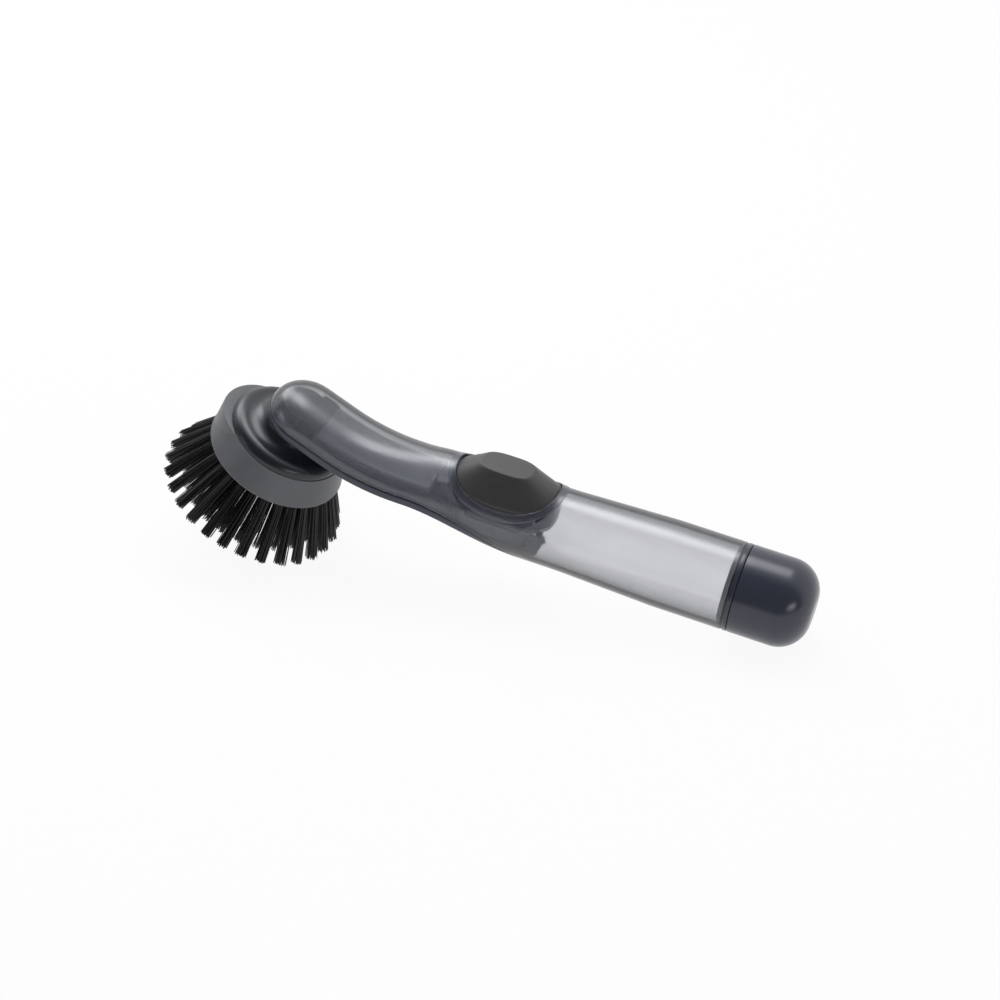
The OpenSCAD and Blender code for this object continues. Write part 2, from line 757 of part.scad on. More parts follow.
// One row of tufts on its slice of the backing
module bristle_row(row, inner, outer) {
    strands = strands_of(row);
    faces = [[2, 1, 0], [0, 1, 3], [1, 4, 3], [1, 2, 4], [2, 5, 4], [2, 0, 5], [0, 3, 5], [3, 4, 5]];
    color([0.09, 0.09, 0.1]) on_head() {
        translate([0, 0, slice_from]) difference() {
            cylinder(h = slice_t, r = outer);
            translate([0, 0, -1]) cylinder(h = slice_t + 2, r = inner);
        }
        polyhedron(
            points = [for (s = strands) each s],
            faces = [for (i = [0 : len(strands) - 1], f = faces) f + 6 * i * [1, 1, 1]]);
    }
}

module bristles_outer() {
    intersection() {
        bristle_row(rows[0], rows[0][1] - tuft_r - 0.6, rows[0][1] + tuft_r + 0.2);
        translate([-4 * far, -2 * far, 0]) cube([8 * far, 4 * far, 4 * far]);
    }
}

module bristles_middle() {
    bristle_row(rows[1], rows[1][1] - tuft_r - 0.5, rows[1][1] + tuft_r + 0.5);
}

module bristles_inner() {
    bristle_row(rows[2], rows[2][1] - tuft_r - 0.5, rows[2][1] + tuft_r + 0.5);
}

// Metal staples that hold the folded tufts in their holes
module tuft_anchors() {
    color([0.75, 0.72, 0.6]) on_head()
        for (row = rows, i = [0 : row[0] - 1])
            rotate([0, 0, 360 * (i + 0.5) / row[0]])
                translate([row[1], 0, plate_from + tuft_hole_depth - anchor[2] / 2 - seat_gap])
                    cube(anchor, center = true);
}

// Threaded collar in the end of the handle
module end_collar() {
    color([0.25, 0.27, 0.33]) on_handle() on_axis() {
        rotate_extrude() polygon([
            [plug_r - 2, -plug_len], [plug_r, -plug_len],
            [plug_r, flange_from], [handle_r, flange_from], [handle_r, collar_t],
            [neck_r, collar_t], [neck_r, mouth_end], [mouth_r, mouth_end],
            [mouth_r, 0.5], [plug_r - 2, -1]]);
        thread(neck_r - 0.4, cap_bore_r - thread_clear, cap_lead, cap_thread_turns, cap_thread_from, 0);
    }
}

// Flat ring seal between the tube's end and the collar
module collar_seal() {
    color([0.12, 0.12, 0.13]) on_handle() on_axis() translate([0, 0, seat_gap]) difference() {
        cylinder(h = washer_t, r = handle_r - 0.3);
        translate([0, 0, -1]) cylinder(h = washer_t + 2, r = plug_r + face_gap);
    }
}

// Soft disc that seals the filling mouth
module cap_liner() {
    color([0.8, 0.8, 0.78]) on_handle() on_axis() translate([0, 0, liner_from])
        cylinder(h = liner_t, r = neck_r);
}

// Solid of the cap, shrunk by a wall
module cap_form(wall) {
    rotate_extrude() {
        translate([0, cap_from - (wall > 0 ? 1 : 0)])
            square([handle_r - wall, cap_round_x - cap_from + (wall > 0 ? 1 : 0)]);
        translate([0, cap_round_x]) square([cap_flat_r, cap_round - wall]);
        intersection() {
            translate([cap_flat_r, cap_round_x]) circle(r = cap_round - wall);
            translate([cap_flat_r, cap_round_x]) square([cap_round, cap_round]);
        }
    }
}

// Screw cap with a big rounded end
module end_cap() {
    press_from = liner_from + liner_t + seat_gap;
    color([0.2, 0.22, 0.27]) on_handle() on_axis() {
        difference() {
            cap_form(0);
            cap_form(cap_wall);
        }
        translate([0, 0, press_from]) difference() {
            cylinder(h = cap_round_x + press_reach - press_from, r = press_r + 0.8);
            translate([0, 0, -1]) cylinder(h = far, r = press_r - 0.8);
        }
        thread(cap_bore_r + 0.4, neck_r + thread_clear - 0.2, cap_lead, cap_thread_turns,
            cap_thread_from - cap_lead / 2, 0);
    }
}

handle_shell();
neck_base();
button_bezel();
squeeze_button();
button_diaphragm();
pump_cup();
inlet_valve();
outlet_valve();
soap_duct();
duct_gasket();
outlet_elbow();
elbow_seal();
head_hub();
head_seal();
head_ring();
bristle_plate();
bristles_outer();
bristles_middle();
bristles_inner();
tuft_anchors();
drip_valve();
valve_retainer();
end_collar();
collar_seal();
cap_liner();
end_cap();
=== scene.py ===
"""Washing-up wand with a soap pump: clear handle, rubber button, screw cap and brush head."""

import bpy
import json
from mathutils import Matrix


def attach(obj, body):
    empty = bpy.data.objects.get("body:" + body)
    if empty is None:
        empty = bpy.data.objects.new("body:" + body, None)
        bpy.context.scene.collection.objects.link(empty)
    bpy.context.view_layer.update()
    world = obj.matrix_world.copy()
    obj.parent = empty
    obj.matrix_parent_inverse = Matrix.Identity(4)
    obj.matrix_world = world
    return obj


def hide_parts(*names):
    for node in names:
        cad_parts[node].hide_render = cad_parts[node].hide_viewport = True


bl_info = {
    "name": "Dish wand",
    "version": (1, 0, 0),
    "blender": (4, 5, 0),
    "location": "View3D > Sidebar > Dish wand",
    "description": "Dresses the packed dish wand with its shell, brush head, cap and finishes",
    "category": "Object",
}

import json
import math
import random

import bmesh
import bpy
from bpy.props import FloatProperty, FloatVectorProperty, IntProperty, PointerProperty
from mathutils import Matrix, Vector

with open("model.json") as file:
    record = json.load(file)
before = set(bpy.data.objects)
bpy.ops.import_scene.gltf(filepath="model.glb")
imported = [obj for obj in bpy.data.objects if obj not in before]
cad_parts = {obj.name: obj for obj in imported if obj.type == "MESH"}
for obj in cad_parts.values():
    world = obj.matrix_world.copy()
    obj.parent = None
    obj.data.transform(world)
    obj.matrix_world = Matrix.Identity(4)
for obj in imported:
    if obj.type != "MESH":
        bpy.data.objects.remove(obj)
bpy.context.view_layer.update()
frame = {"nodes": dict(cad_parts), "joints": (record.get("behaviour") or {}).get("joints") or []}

MM = 0.001
JOINTS = {j["name"]: j for j in frame["joints"]}


def linear(code):
    """Linear RGBA of an sRGB hex colour."""
    parts = [int(code[i : i + 2], 16) / 255 for i in (1, 3, 5)]
    return [c / 12.92 if c <= 0.04045 else ((c + 0.055) / 1.055) ** 2.4 for c in parts] + [1.0]


# ---- sizes and colours


def length(name, description, value_mm):
    """A length that a user can change, given in millimetres."""
    return FloatProperty(
        name=name, description=description, default=value_mm * MM, min=0, unit="LENGTH", precision=4
    )


def colour(name, description, code):
    """A colour that a user can change, given as an sRGB hex code."""
    return FloatVectorProperty(
        name=name, description=description, default=linear(code), size=4, min=0, max=1, subtype="COLOR"
    )


class WAND_PG_handle(bpy.types.PropertyGroup):
    """Sizes of the clear handle, its neck and the button on it."""

    handle_radius: length("Handle radius", "Outer radius of the handle at the collar", 16.5)
    grip_radius: length("Grip radius", "Outer radius of the grip beside the button", 15.2)
    taper_from: length("Taper start", "Where the handle starts to narrow", 26)
    taper: length("Taper end", "Where the handle has narrowed to the grip", 64)
    wall: length("Shell wall", "Wall of the clear shell", 2)
    dome: length("Neck height", "Height of the dome over the brush, above the centre line", 12)
    dip: length("Neck dip", "Depth by which the top drops behind the button", 1.1)
    plate: length("Base plate", "Thickness of the plate that closes the neck", 3.2)
    button_length: length("Button length", "Length of the button at its foot", 38.4)
    button_width: length("Button width", "Width of the button at its foot", 25.8)
    button_height: length("Button height", "Height of the top facet above the handle axis", 19.8)


class WAND_PG_head(bpy.types.PropertyGroup):
    """Sizes of the brush head and the cap."""

    ring_radius: length("Ring radius", "Radius of the ring at its lower edge", 27)
    ring_height: length("Ring height", "Height of the ring", 10.9)
    hub_radius: length("Hub radius", "Radius of the bell over the ring", 22.8)
    filament_radius: length("Filament radius", "Radius of one nylon filament", 0.17)
    filaments: IntProperty(name="Filaments", description="Filaments in an outer tuft", default=52, min=7, max=80)
    cap_length: length("Cap length", "Length of the end cap", 27.6)
    cap_round: length("Cap rounding", "Radius of the rounding at the cap's end", 11.8)


class WAND_PG_colours(bpy.types.PropertyGroup):
    """Colours of the moulded pieces."""

    smoke: colour("Smoke clear", "Tint of the clear handle", "#ECECED")
    smoke_dark: colour("Dark smoke", "Tint of the bezel round the button", "#CFD0D3")
    charcoal: colour("Charcoal", "Cap, collar and neck base", "#383B48")
    ring: colour("Ring grey", "Ring round the bristles", "#626367")
    hub: colour("Hub", "Glossy bell over the ring", "#22242B")
    rubber: colour("Button rubber", "Soft button", "#353233")
    nylon: colour("Nylon", "Bristles", "#0A0A0B")


# ---- the part's own frames

# Places along the handle are distances u on the centre line, from the seam at the collar to the brush
BEND_START = 126 * MM
BEND_RADIUS = 88 * MM
BEND = math.radians(20.9)
BEND_END = BEND_START + BEND_RADIUS * BEND
HEAD_U = BEND_END + 16 * MM  # the brush axis
NOSE_U = HEAD_U + (12.6 - 15.2) * MM  # middle of the nose, which is 15.2 mm round and ends 12.6 mm past the axis
JOIN_U = 112 * MM  # the round grip ends and the neck starts
OPENING_U = 73 * MM  # from here on the shell is open below
BUTTON_U = 89.2 * MM  # middle of the button
BRUSH_DROP = 21.5 * MM  # from the centre line down to the ring's lower plane
BASE_DROP = 1.4 * MM  # from the centre line down to the neck's underside
CAP_JOINT = 10 * MM  # from the seam to the cap's joint


def handle_frame():
    """Matrix of the handle: origin at the collar seam, X to the cap, Z up through the button."""
    axis = Vector(JOINTS["cap_lift"]["axis"])
    seam_at = Vector(JOINTS["cap_turn"]["pos_m"]) - CAP_JOINT * axis
    return Matrix.Translation(seam_at) @ Matrix.Rotation(math.atan2(-axis.z, axis.x), 4, "Y")


def across(u, d):
    """Point at a height d above the centre line, as x and z in the handle's frame."""
    a = min(BEND, max(0.0, (u - BEND_START) / BEND_RADIUS))
    run = max(0.0, u - BEND_START - BEND_RADIUS * a)
    x = -min(u, BEND_START) - BEND_RADIUS * math.sin(a) - run * math.cos(a)
    z = BEND_RADIUS * (1 - math.cos(a)) + run * math.sin(a)
    return x + d * math.sin(a), z + d * math.cos(a)


def bent(u, section):
    """A section across the centre line, given as y and height, set in the handle's frame."""
    return [(x, y, h) for y, (x, h) in ((y, across(u, z)) for y, z in section)]


def head_frame():
    """Matrix of the brush head: origin in the ring's lower plane, Z up along the brush axis."""
    x, z = across(HEAD_U, -BRUSH_DROP)
    return HANDLE @ Matrix.Translation((x, 0, z)) @ Matrix.Rotation(BEND, 4, "Y")


HANDLE = handle_frame()
AXIS = HANDLE @ Matrix.Rotation(math.pi / 2, 4, "Y")
BUTTON = HANDLE @ Matrix.Translation((-BUTTON_U, 0, 0))
HEAD = head_frame()


def smooth(u, start, run):
    """Smooth step from 0 to 1 over a run that begins at start."""
    t = min(1.0, max(0.0, (u - start) / run))
    return t * t * (3 - 2 * t)


def steps(a, b, n):
    """n + 1 evenly spaced values from a to b."""
    return [a + (b - a) * i / n for i in range(n + 1)]


def arc(centre, radii, a, b, n):
    """Points on an elliptic arc, with angles in degrees."""
    return [
        (centre[0] + radii[0] * math.cos(math.radians(t)), centre[1] + radii[1] * math.sin(math.radians(t)))
        for t in steps(a, b, n)
    ]


def circle(count):
    """Cosine and sine of evenly spaced angles over a full turn."""
    return [(math.cos(2 * math.pi * i / count), math.sin(2 * math.pi * i / count)) for i in range(count)]


def outline(size, power, count):
    """Rounded rectangle with half sizes, as x and y. A power of 2 gives an ellipse, more gives squarer ends."""
    return [
        (size[0] * math.copysign(abs(c) ** (2 / power), c), size[1] * math.copysign(abs(s) ** (2 / power), s))
        for c, s in circle(count)
    ]


def mm(points):
    """Pairs given in millimetres, in metres."""
    return [(a * MM, b * MM) for a, b in points]


# ---- modelling helpers


def start_clean():
    """Leaves edit mode and deselects everything."""
    if bpy.context.mode != "OBJECT":
        bpy.ops.object.mode_set(mode="OBJECT")
    bpy.ops.object.select_all(action="DESELECT")


def only(piece):
    """Selects one object alone, in object mode."""
    start_clean()
    piece.select_set(True)
    bpy.context.view_layer.objects.active = piece


def loft(name, rings, fill_start=False, fill_end=False, closed=False):
    """A circle extruded ring by ring, each ring set on its outline. Left in edit mode."""
    start_clean()
    count = len(rings[0])
    bpy.ops.mesh.primitive_circle_add(vertices=count, radius=0.01)
    piece = bpy.context.object
    piece.name = piece.data.name = name
    bpy.ops.object.mode_set(mode="EDIT")
    bpy.ops.mesh.select_mode(type="VERT")
    bpy.ops.mesh.select_all(action="SELECT")
    mesh = bmesh.from_edit_mesh(piece.data)
    place = mesh.verts.layers.int.new("place")
    for i, v in enumerate(mesh.verts):
        v[place] = i
        v.co = rings[0][i]
    bmesh.update_edit_mesh(piece.data)
    for ring in list(rings[1:]) + ([rings[0]] if closed else []):
        bpy.ops.mesh.extrude_region_move()
        mesh = bmesh.from_edit_mesh(piece.data)
        place = mesh.verts.layers.int["place"]
        for v in mesh.verts:
            if v.select:
                v.co = ring[v[place] % count]
                v[place] += count
        bmesh.update_edit_mesh(piece.data)
    if fill_end:
        bpy.ops.mesh.edge_face_add()
    if fill_start:
        pick_ring(piece, count, 0)
        bpy.ops.mesh.edge_face_add()
    bpy.ops.mesh.select_all(action="SELECT")
    bpy.ops.mesh.remove_doubles(threshold=2e-6)
    bpy.ops.mesh.normals_make_consistent(inside=False)
    return piece


def pick_ring(piece, count, number):
    """Selects one of a loft's rings, in edit mode."""
    bpy.ops.mesh.select_all(action="DESELECT")
    bpy.ops.mesh.select_mode(type="VERT")
    mesh = bmesh.from_edit_mesh(piece.data)
    place = mesh.verts.layers.int["place"]
    for v in mesh.verts:
        v.select = v[place] // count == number
    for e in mesh.edges:
        e.select = all(v.select for v in e.verts)
    mesh.select_mode = {"EDGE"}
    bpy.ops.mesh.select_mode(type="EDGE")
    bmesh.update_edit_mesh(piece.data)


def pick_open(piece, low, high):
    """Selects the open edges between two places along the handle, in edit mode."""
    bpy.ops.mesh.select_mode(type="EDGE")
    bpy.ops.mesh.select_all(action="DESELECT")
    mesh = bmesh.from_edit_mesh(piece.data)
    for e in mesh.edges:
        if e.is_boundary and all(low < -v.co.x < high for v in e.verts):
            e.select = True
    bmesh.update_edit_mesh(piece.data)


def turned(name, profile, count=128, closed=True):
    """A profile of radius and height turned round Z. Left in edit mode."""
    spokes = circle(count)
    return loft(name, [[(r * c, r * s, z) for c, s in spokes] for r, z in profile], closed=closed)


def apply(piece, kind, **settings):
    """Adds a modifier with its settings and applies it."""
    only(piece)
    modifier = piece.modifiers.new(kind.title(), kind)
    for key, value in settings.items():
        setattr(modifier, key, value)
    bpy.ops.object.modifier_apply(modifier=modifier.name)


def soften(piece, width, angle, segments=2):
    """Rounds the edges that are sharper than an angle, as on a moulding."""
    rounding = {"width": width, "segments": segments, "use_clamp_overlap": True}
    apply(piece, "BEVEL", limit_method="ANGLE", angle_limit=math.radians(angle), **rounding)


def cut(piece, cutter):
    """Takes a cutter's shape out of a piece and removes the cutter.

    It works in millimetres, because the solver tests what is inside with points that lie 0.00001 units off a
    face. In metres such a point can fall beyond a thin edge, and then the same cut comes out wrong in some runs.
    """
    only(piece)
    cutter.data.transform(Matrix.Scale(1 / MM, 4) @ cutter.matrix_world)
    cutter.matrix_world = Matrix()
    piece.data.transform(Matrix.Scale(1 / MM, 4))
    apply(piece, "BOOLEAN", object=cutter, operation="DIFFERENCE", solver="EXACT")
    piece.data.transform(Matrix.Scale(MM, 4))
    bpy.data.objects.remove(cutter)


def join(piece, *others):
    """Joins other objects into a piece."""
    only(piece)
    for other in others:
        other.select_set(True)
    bpy.ops.object.join()
    return piece


def duplicate(piece):
    """A copy of a piece, with its own mesh."""
    copy = piece.copy()
    copy.data = piece.data.copy()
    bpy.context.scene.collection.objects.link(copy)
    return copy


def face_out(piece):
    """Turns a closed piece's faces over where they point inwards, which gives it a negative volume."""
    mesh = bmesh.new()
    mesh.from_mesh(piece.data)
    if mesh.calc_volume(signed=True) < 0:
        bmesh.ops.reverse_faces(mesh, faces=mesh.faces)
        mesh.to_mesh(piece.data)
    mesh.free()


def settle(piece, matrix, body, material, stands_for, smooth_angle=35):
    """Puts a finished piece in its place with its material, ties it to its body, and hides the node that it stands
    for.
    """
    only(piece)
    layer = piece.data.attributes.get("place")
    if layer:
        piece.data.attributes.remove(layer)
    piece.matrix_world = matrix
    bpy.ops.object.transform_apply()
    face_out(piece)
    bpy.ops.object.shade_smooth_by_angle(angle=math.radians(smooth_angle))
    piece.data.materials.clear()
    piece.data.materials.append(material)
    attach(piece, body)
    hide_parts(stands_for)


def helix(name, inner, outer, low, lead, turns, starts=1):
    """Helical ribs between two radii, made from a profile by the Screw modifier."""
    width = 1.4 * MM
    half, flank = width / 2, abs(outer - inner) * 0.3
    sections = max(8, round(48 * turns))
    ribs = []
    for i in range(starts):
        start_clean()
        bpy.ops.mesh.primitive_plane_add(size=width)
        rib = bpy.context.object
        rib.name = f"{name}_{i}"
        corners = [(inner, -half - flank), (outer, -half), (outer, half), (inner, half + flank)]
        for v, (r, z) in zip([rib.data.vertices[k] for k in (0, 1, 3, 2)], corners):
            v.co = (r, 0, low + z)
        bpy.ops.object.mode_set(mode="EDIT")
        bpy.ops.mesh.select_mode(type="FACE")
        bpy.ops.mesh.select_all(action="SELECT")
        bpy.ops.mesh.delete(type="ONLY_FACE")
        apply(
            rib,
            "SCREW",
            axis="Z",
            angle=2 * math.pi * turns,
            screw_offset=lead * turns,
            steps=sections,
            render_steps=sections,
            use_merge_vertices=False,
        )
        only(rib)
        bpy.ops.object.mode_set(mode="EDIT")
        bpy.ops.mesh.select_all(action="SELECT")
        bpy.ops.mesh.fill_holes(sides=4)
        bpy.ops.mesh.normals_make_consistent(inside=False)
        bpy.ops.object.mode_set(mode="OBJECT")
        rib.rotation_euler.z = 2 * math.pi * i / starts
        bpy.ops.object.transform_apply()
        ribs.append(rib)
    return ribs


# ---- finishes

CLEAR_IOR = 1.57  # of SAN and polycarbonate


def node(tree, kind, inputs=None, **settings):
    """Adds a shader node, sets its fields, and sets or links its inputs."""
    made = tree.nodes.new(kind)
    for key, value in settings.items():
        setattr(made, key, value)
    for key, value in (inputs or {}).items():
        if isinstance(value, bpy.types.NodeSocket):
            tree.links.new(value, made.inputs[key])
        else:
            made.inputs[key].default_value = value
    return made


def bare_tree(holder):
    """The emptied node tree of a material, a lamp or the world."""
    holder.use_nodes = True
    holder.node_tree.nodes.clear()
    return holder.node_tree


def blank(name):
    """A new material, its tree and object coordinates."""
    material = bpy.data.materials.new(name)
    tree = bare_tree(material)
    return material, tree, node(tree, "ShaderNodeTexCoord").outputs["Object"]


def toned(base, level):
    """A linear colour made darker or lighter."""
    return [min(1, c * level) for c in base[:3]] + [1]


def solid(name, base, tones, rough, cloud, fine, bump, inputs):
    """An opaque material: colour and roughness vary together over a cloudy pattern, and a fine one is raised.

    tones and rough are pairs between which they vary. cloud and fine are a pattern's size in millimetres and
    its detail, and bump is a strength and a depth in millimetres. Without a cloud the piece's own shade
    attribute takes its part.
    """
    material, tree, at = blank(name)
    grain = node(tree, "ShaderNodeTexNoise", {"Vector": at, "Scale": 1 / (fine[0] * MM), "Detail": fine[1]})
    raised = {"Height": grain.outputs["Fac"], "Strength": bump[0], "Distance": bump[1] * MM}
    raised = node(tree, "ShaderNodeBump", raised).outputs["Normal"]
    if cloud:
        share = node(tree, "ShaderNodeTexNoise", {"Vector": at, "Scale": 1 / (cloud[0] * MM), "Detail": cloud[1]})
    else:
        share = node(tree, "ShaderNodeAttribute", attribute_name="shade")
    share = share.outputs["Fac"]
    # Mix names its colour sockets twice, so they are given by their place
    mixed = {0: share, 6: toned(base, tones[0]), 7: toned(base, tones[1])}
    mixed = node(tree, "ShaderNodeMix", mixed, data_type="RGBA").outputs[2]
    gloss = node(tree, "ShaderNodeMapRange", {"Value": share, "To Min": rough[0], "To Max": rough[1]})
    shader = {"Base Color": mixed, "Roughness": gloss.outputs["Result"], "Normal": raised, **inputs}
    shader = node(tree, "ShaderNodeBsdfPrincipled", shader)
    node(tree, "ShaderNodeOutputMaterial", {"Surface": shader.outputs["BSDF"]})
    return material


def clear(name, base, milk, rough, blur):
    """Clear tinted plastic under a satin skin with a little milk.

    It bends and blurs what is behind it, or neither where blur is 0. Its tint is deeper towards the rims,
    and it gives lamps a plain tinted way through.
    """
    material, tree, at = blank(name)
    # The melt's flow marks are 2.5 mm wide and stretched along the handle
    lie = {"Vector": at, "Rotation": (0, -HANDLE.to_euler().y, 0), "Scale": (1 / 12, 1, 1)}
    along = node(tree, "ShaderNodeMapping", lie).outputs["Vector"]
    flow = node(tree, "ShaderNodeTexNoise", {"Vector": along, "Scale": 1 / (2.5 * MM), "Detail": 2})
    flow = flow.outputs["Fac"]
    cloud = node(tree, "ShaderNodeTexNoise", {"Vector": at, "Scale": 1 / (14 * MM), "Detail": 2})
    cloud = cloud.outputs["Fac"]
    bump = node(tree, "ShaderNodeBump", {"Height": flow, "Strength": 0.3, "Distance": 0.02 * MM})
    bump = bump.outputs["Normal"]
    even = {0: cloud, 6: toned(base, 0.98), 7: toned(base, 1.02)}
    even = node(tree, "ShaderNodeMix", even, data_type="RGBA").outputs[2]
    rim = node(tree, "ShaderNodeLayerWeight", {"Blend": 0.5}).outputs["Facing"]
    rim = node(tree, "ShaderNodeMath", {0: rim, 1: 1.3}, operation="POWER").outputs[0]
    tint = node(tree, "ShaderNodeMix", {0: rim, 6: even, 7: toned(base, 0.15)}, data_type="RGBA").outputs[2]
    if blur:
        through = {"Color": tint, "Roughness": blur, "IOR": CLEAR_IOR, "Normal": bump}
        through = node(tree, "ShaderNodeBsdfRefraction", through)
    else:
        through = node(tree, "ShaderNodeBsdfTransparent", {"Color": tint})
    milk = linear(milk)
    milky = {0: cloud, 6: toned(milk, 0.9), 7: toned(milk, 1.1)}
    milky = node(tree, "ShaderNodeMix", milky, data_type="RGBA").outputs[2]
    gloss = node(tree, "ShaderNodeMapRange", {"Value": flow, "To Min": rough * 0.85, "To Max": rough * 1.2})
    skin = {"Base Color": milky, "Roughness": gloss.outputs["Result"], "IOR": CLEAR_IOR, "Normal": bump}
    skin = node(tree, "ShaderNodeBsdfPrincipled", skin)
    both = node(tree, "ShaderNodeAddShader", {0: through.outputs["BSDF"], 1: skin.outputs["BSDF"]})
    lamp = node(tree, "ShaderNodeBsdfTransparent", {"Color": base})
    ray = node(tree, "ShaderNodeLightPath").outputs["Is Shadow Ray"]
    mix = node(tree, "ShaderNodeMixShader", {0: ray, 1: both.outputs["Shader"], 2: lamp.outputs["BSDF"]})
    node(tree, "ShaderNodeOutputMaterial", {"Surface": mix.outputs["Shader"]})
    return material


MOULDED = (0.92, 1.1)  # how much darker and lighter moulded plastic gets over its faint clouds
RUBBERY = (0.88, 1.15)
SHEEN = {"IOR": 1.52, "Sheen Weight": 0.25, "Sheen Roughness": 0.5}
SOFT_INSIDE = {"IOR": 1.43, "Subsurface Weight": 0.3, "Subsurface Scale": 1.5 * MM}

# What makes each material, and its values. The colour is a hex code or one of those that a user can change
FINISHES = {
    # Clear smoke SAN, gloss moulded: see-through and grey, blurs what is behind it, darker towards the rims
    "clear_smoke_san": (clear, "smoke", "#202228", 0.2, 0.12),
    # Dark smoke SAN, gloss moulded: the bezel hides more of what is behind it
    "dark_smoke_san": (clear, "smoke_dark", "#3B3C43", 0.2, 0),
    # Smoked polycarbonate of the pump and the duct: lets most light through
    "smoked_polycarbonate": (clear, "#CDCFD4", "#2C2D33", 0.3, 0),
    # ABS from a satin tool: soft broad highlight, very fine grain
    "satin_abs": (solid, "charcoal", MOULDED, (0.195, 0.245), (9, 3), (0.3, 2), (0.5, 0.005), {"IOR": 1.5}),
    # ABS from a polished tool, dulled by use: long soft reflections with a slight waviness
    "gloss_abs": (solid, "hub", MOULDED, (0.25, 0.29), (14, 3), (2.2, 2), (0.5, 0.008), {"IOR": 1.5}),
    # Smooth charcoal ABS of the neck plate: no grain, a slight waviness
    "smooth_abs": (solid, "charcoal", MOULDED, (0.23, 0.27), (14, 3), (2.2, 2), (0.5, 0.006), {"IOR": 1.5}),
    # Polypropylene from an eroded tool: matter than the cap
    "satin_polypropylene": (solid, "ring", MOULDED, (0.37, 0.47), (7, 3), (0.35, 2), (0.5, 0.018), {"IOR": 1.5}),
    # Dark polypropylene of the inner works: plain, low gloss
    "dark_polypropylene": (solid, "#0B0C0F", MOULDED, (0.4, 0.5), (6, 3), (2, 2), (0.5, 0.003), {"IOR": 1.5}),
    # Thermoplastic rubber of the button: matt brown-black, finely grained, with a faint dusty sheen
    "button_tpe": (solid, "rubber", RUBBERY, (0.47, 0.58), (5, 4), (0.35, 3), (0.6, 0.03), SHEEN),
    # Black nitrile of the seals: a little glossier than the button
    "nitrile_rubber": (solid, "#1C1C1E", RUBBERY, (0.4, 0.51), (5, 4), (0.35, 3), (0.6, 0.03), SHEEN),
    # Milky silicone of the valves and the liner: soft light inside, a little uneven, low gloss
    "milky_silicone": (solid, "#D6D5CE", (0.93, 1.05), (0.38, 0.5), (3, 3), (0.4, 2), (0.4, 0.02), SOFT_INSIDE),
    # Extruded black nylon: each filament has its own shade, with a slight gloss along it
    "black_nylon": (solid, "nylon", (0.6, 2.4), (0.32, 0.5), None, (0.8, 2), (0.3, 0.02), {"IOR": 1.53}),
    # Drawn brass wire of the staples: bright, with fine draw marks and a little tarnish
    "drawn_brass": (solid, "#C9A655", (0.7, 1.1), (0.22, 0.4), (0.7, 3), (0.08, 1), (0.3, 0.01), {"Metallic": 1.0}),
}


def finish(name):
    """The material of this name, made once."""
    make, base, *values = FINISHES[name]
    base = linear(base) if base[0] == "#" else list(getattr(bpy.context.scene.wand_colours, base))
    return bpy.data.materials.get(name) or make(name, base, *values)


# ---- sections of the handle and neck

TOPS, BOTTOMS = 72, 24  # steps of a ring of the shell over the top and under the belly
BUTTON_POWER = 2.8  # of the outlines of the button, its bezel and its opening


def tube_radius(s, u, inset):
    """Radius of the round handle, outside or inside, where the wall is 2.2 mm at the collar."""
    wide = s.handle_radius - (2.2 * MM if inset else 0)
    share = min(1, max(0, (u - s.taper_from) / (s.taper - s.taper_from)))
    return wide + (s.grip_radius - inset - wide) * share


def blend_in(u):
    """0 where the grip is round, 1 where the neck has its own section."""
    return smooth(u, JOIN_U, BEND_END - JOIN_U)


def dome(s, u, inset=0.0):
    """Height of the dome above the centre line."""
    dip = s.dip * smooth(u, JOIN_U, 12 * MM)
    return s.grip_radius - dip + (s.dome + s.dip - s.grip_radius) * blend_in(u) - inset


def dome_power(u):
    """Power of the dome's section, where 2 is an ellipse."""
    return 2 + 0.6 * blend_in(u)


def left(share, power):
    """What is left of a rounded section's height, where a share of its reach is used."""
    return max(0, 1 - share**power) ** (1 / power)


def chord(r, d):
    """Half width of a circle at a distance from its middle."""
    return math.sqrt(max(0, r * r - d * d))


def belly(s, u):
    """Height of the underside, which rises from the grip to the neck's base."""
    return -s.grip_radius + (s.grip_radius - BASE_DROP) * smooth(u, 58 * MM, 66 * MM)


def seam(s, u):
    """Height of the seam between shell and base plate, which starts as an edge and gets its thickness."""
    return belly(s, u) + max(0.4 * MM, s.plate * smooth(u, 62 * MM, 38 * MM))


def half_width(s, u, du, z, inset=0.0):
    """Half width of the neck at a height, du past the centre of the nose."""
    r = s.grip_radius - inset
    if z <= 0:
        return chord(r, du) * math.sqrt(max(0, 1 - (z / r) ** 2))
    return chord(r * left(z / dome(s, u, inset), dome_power(u)), du)


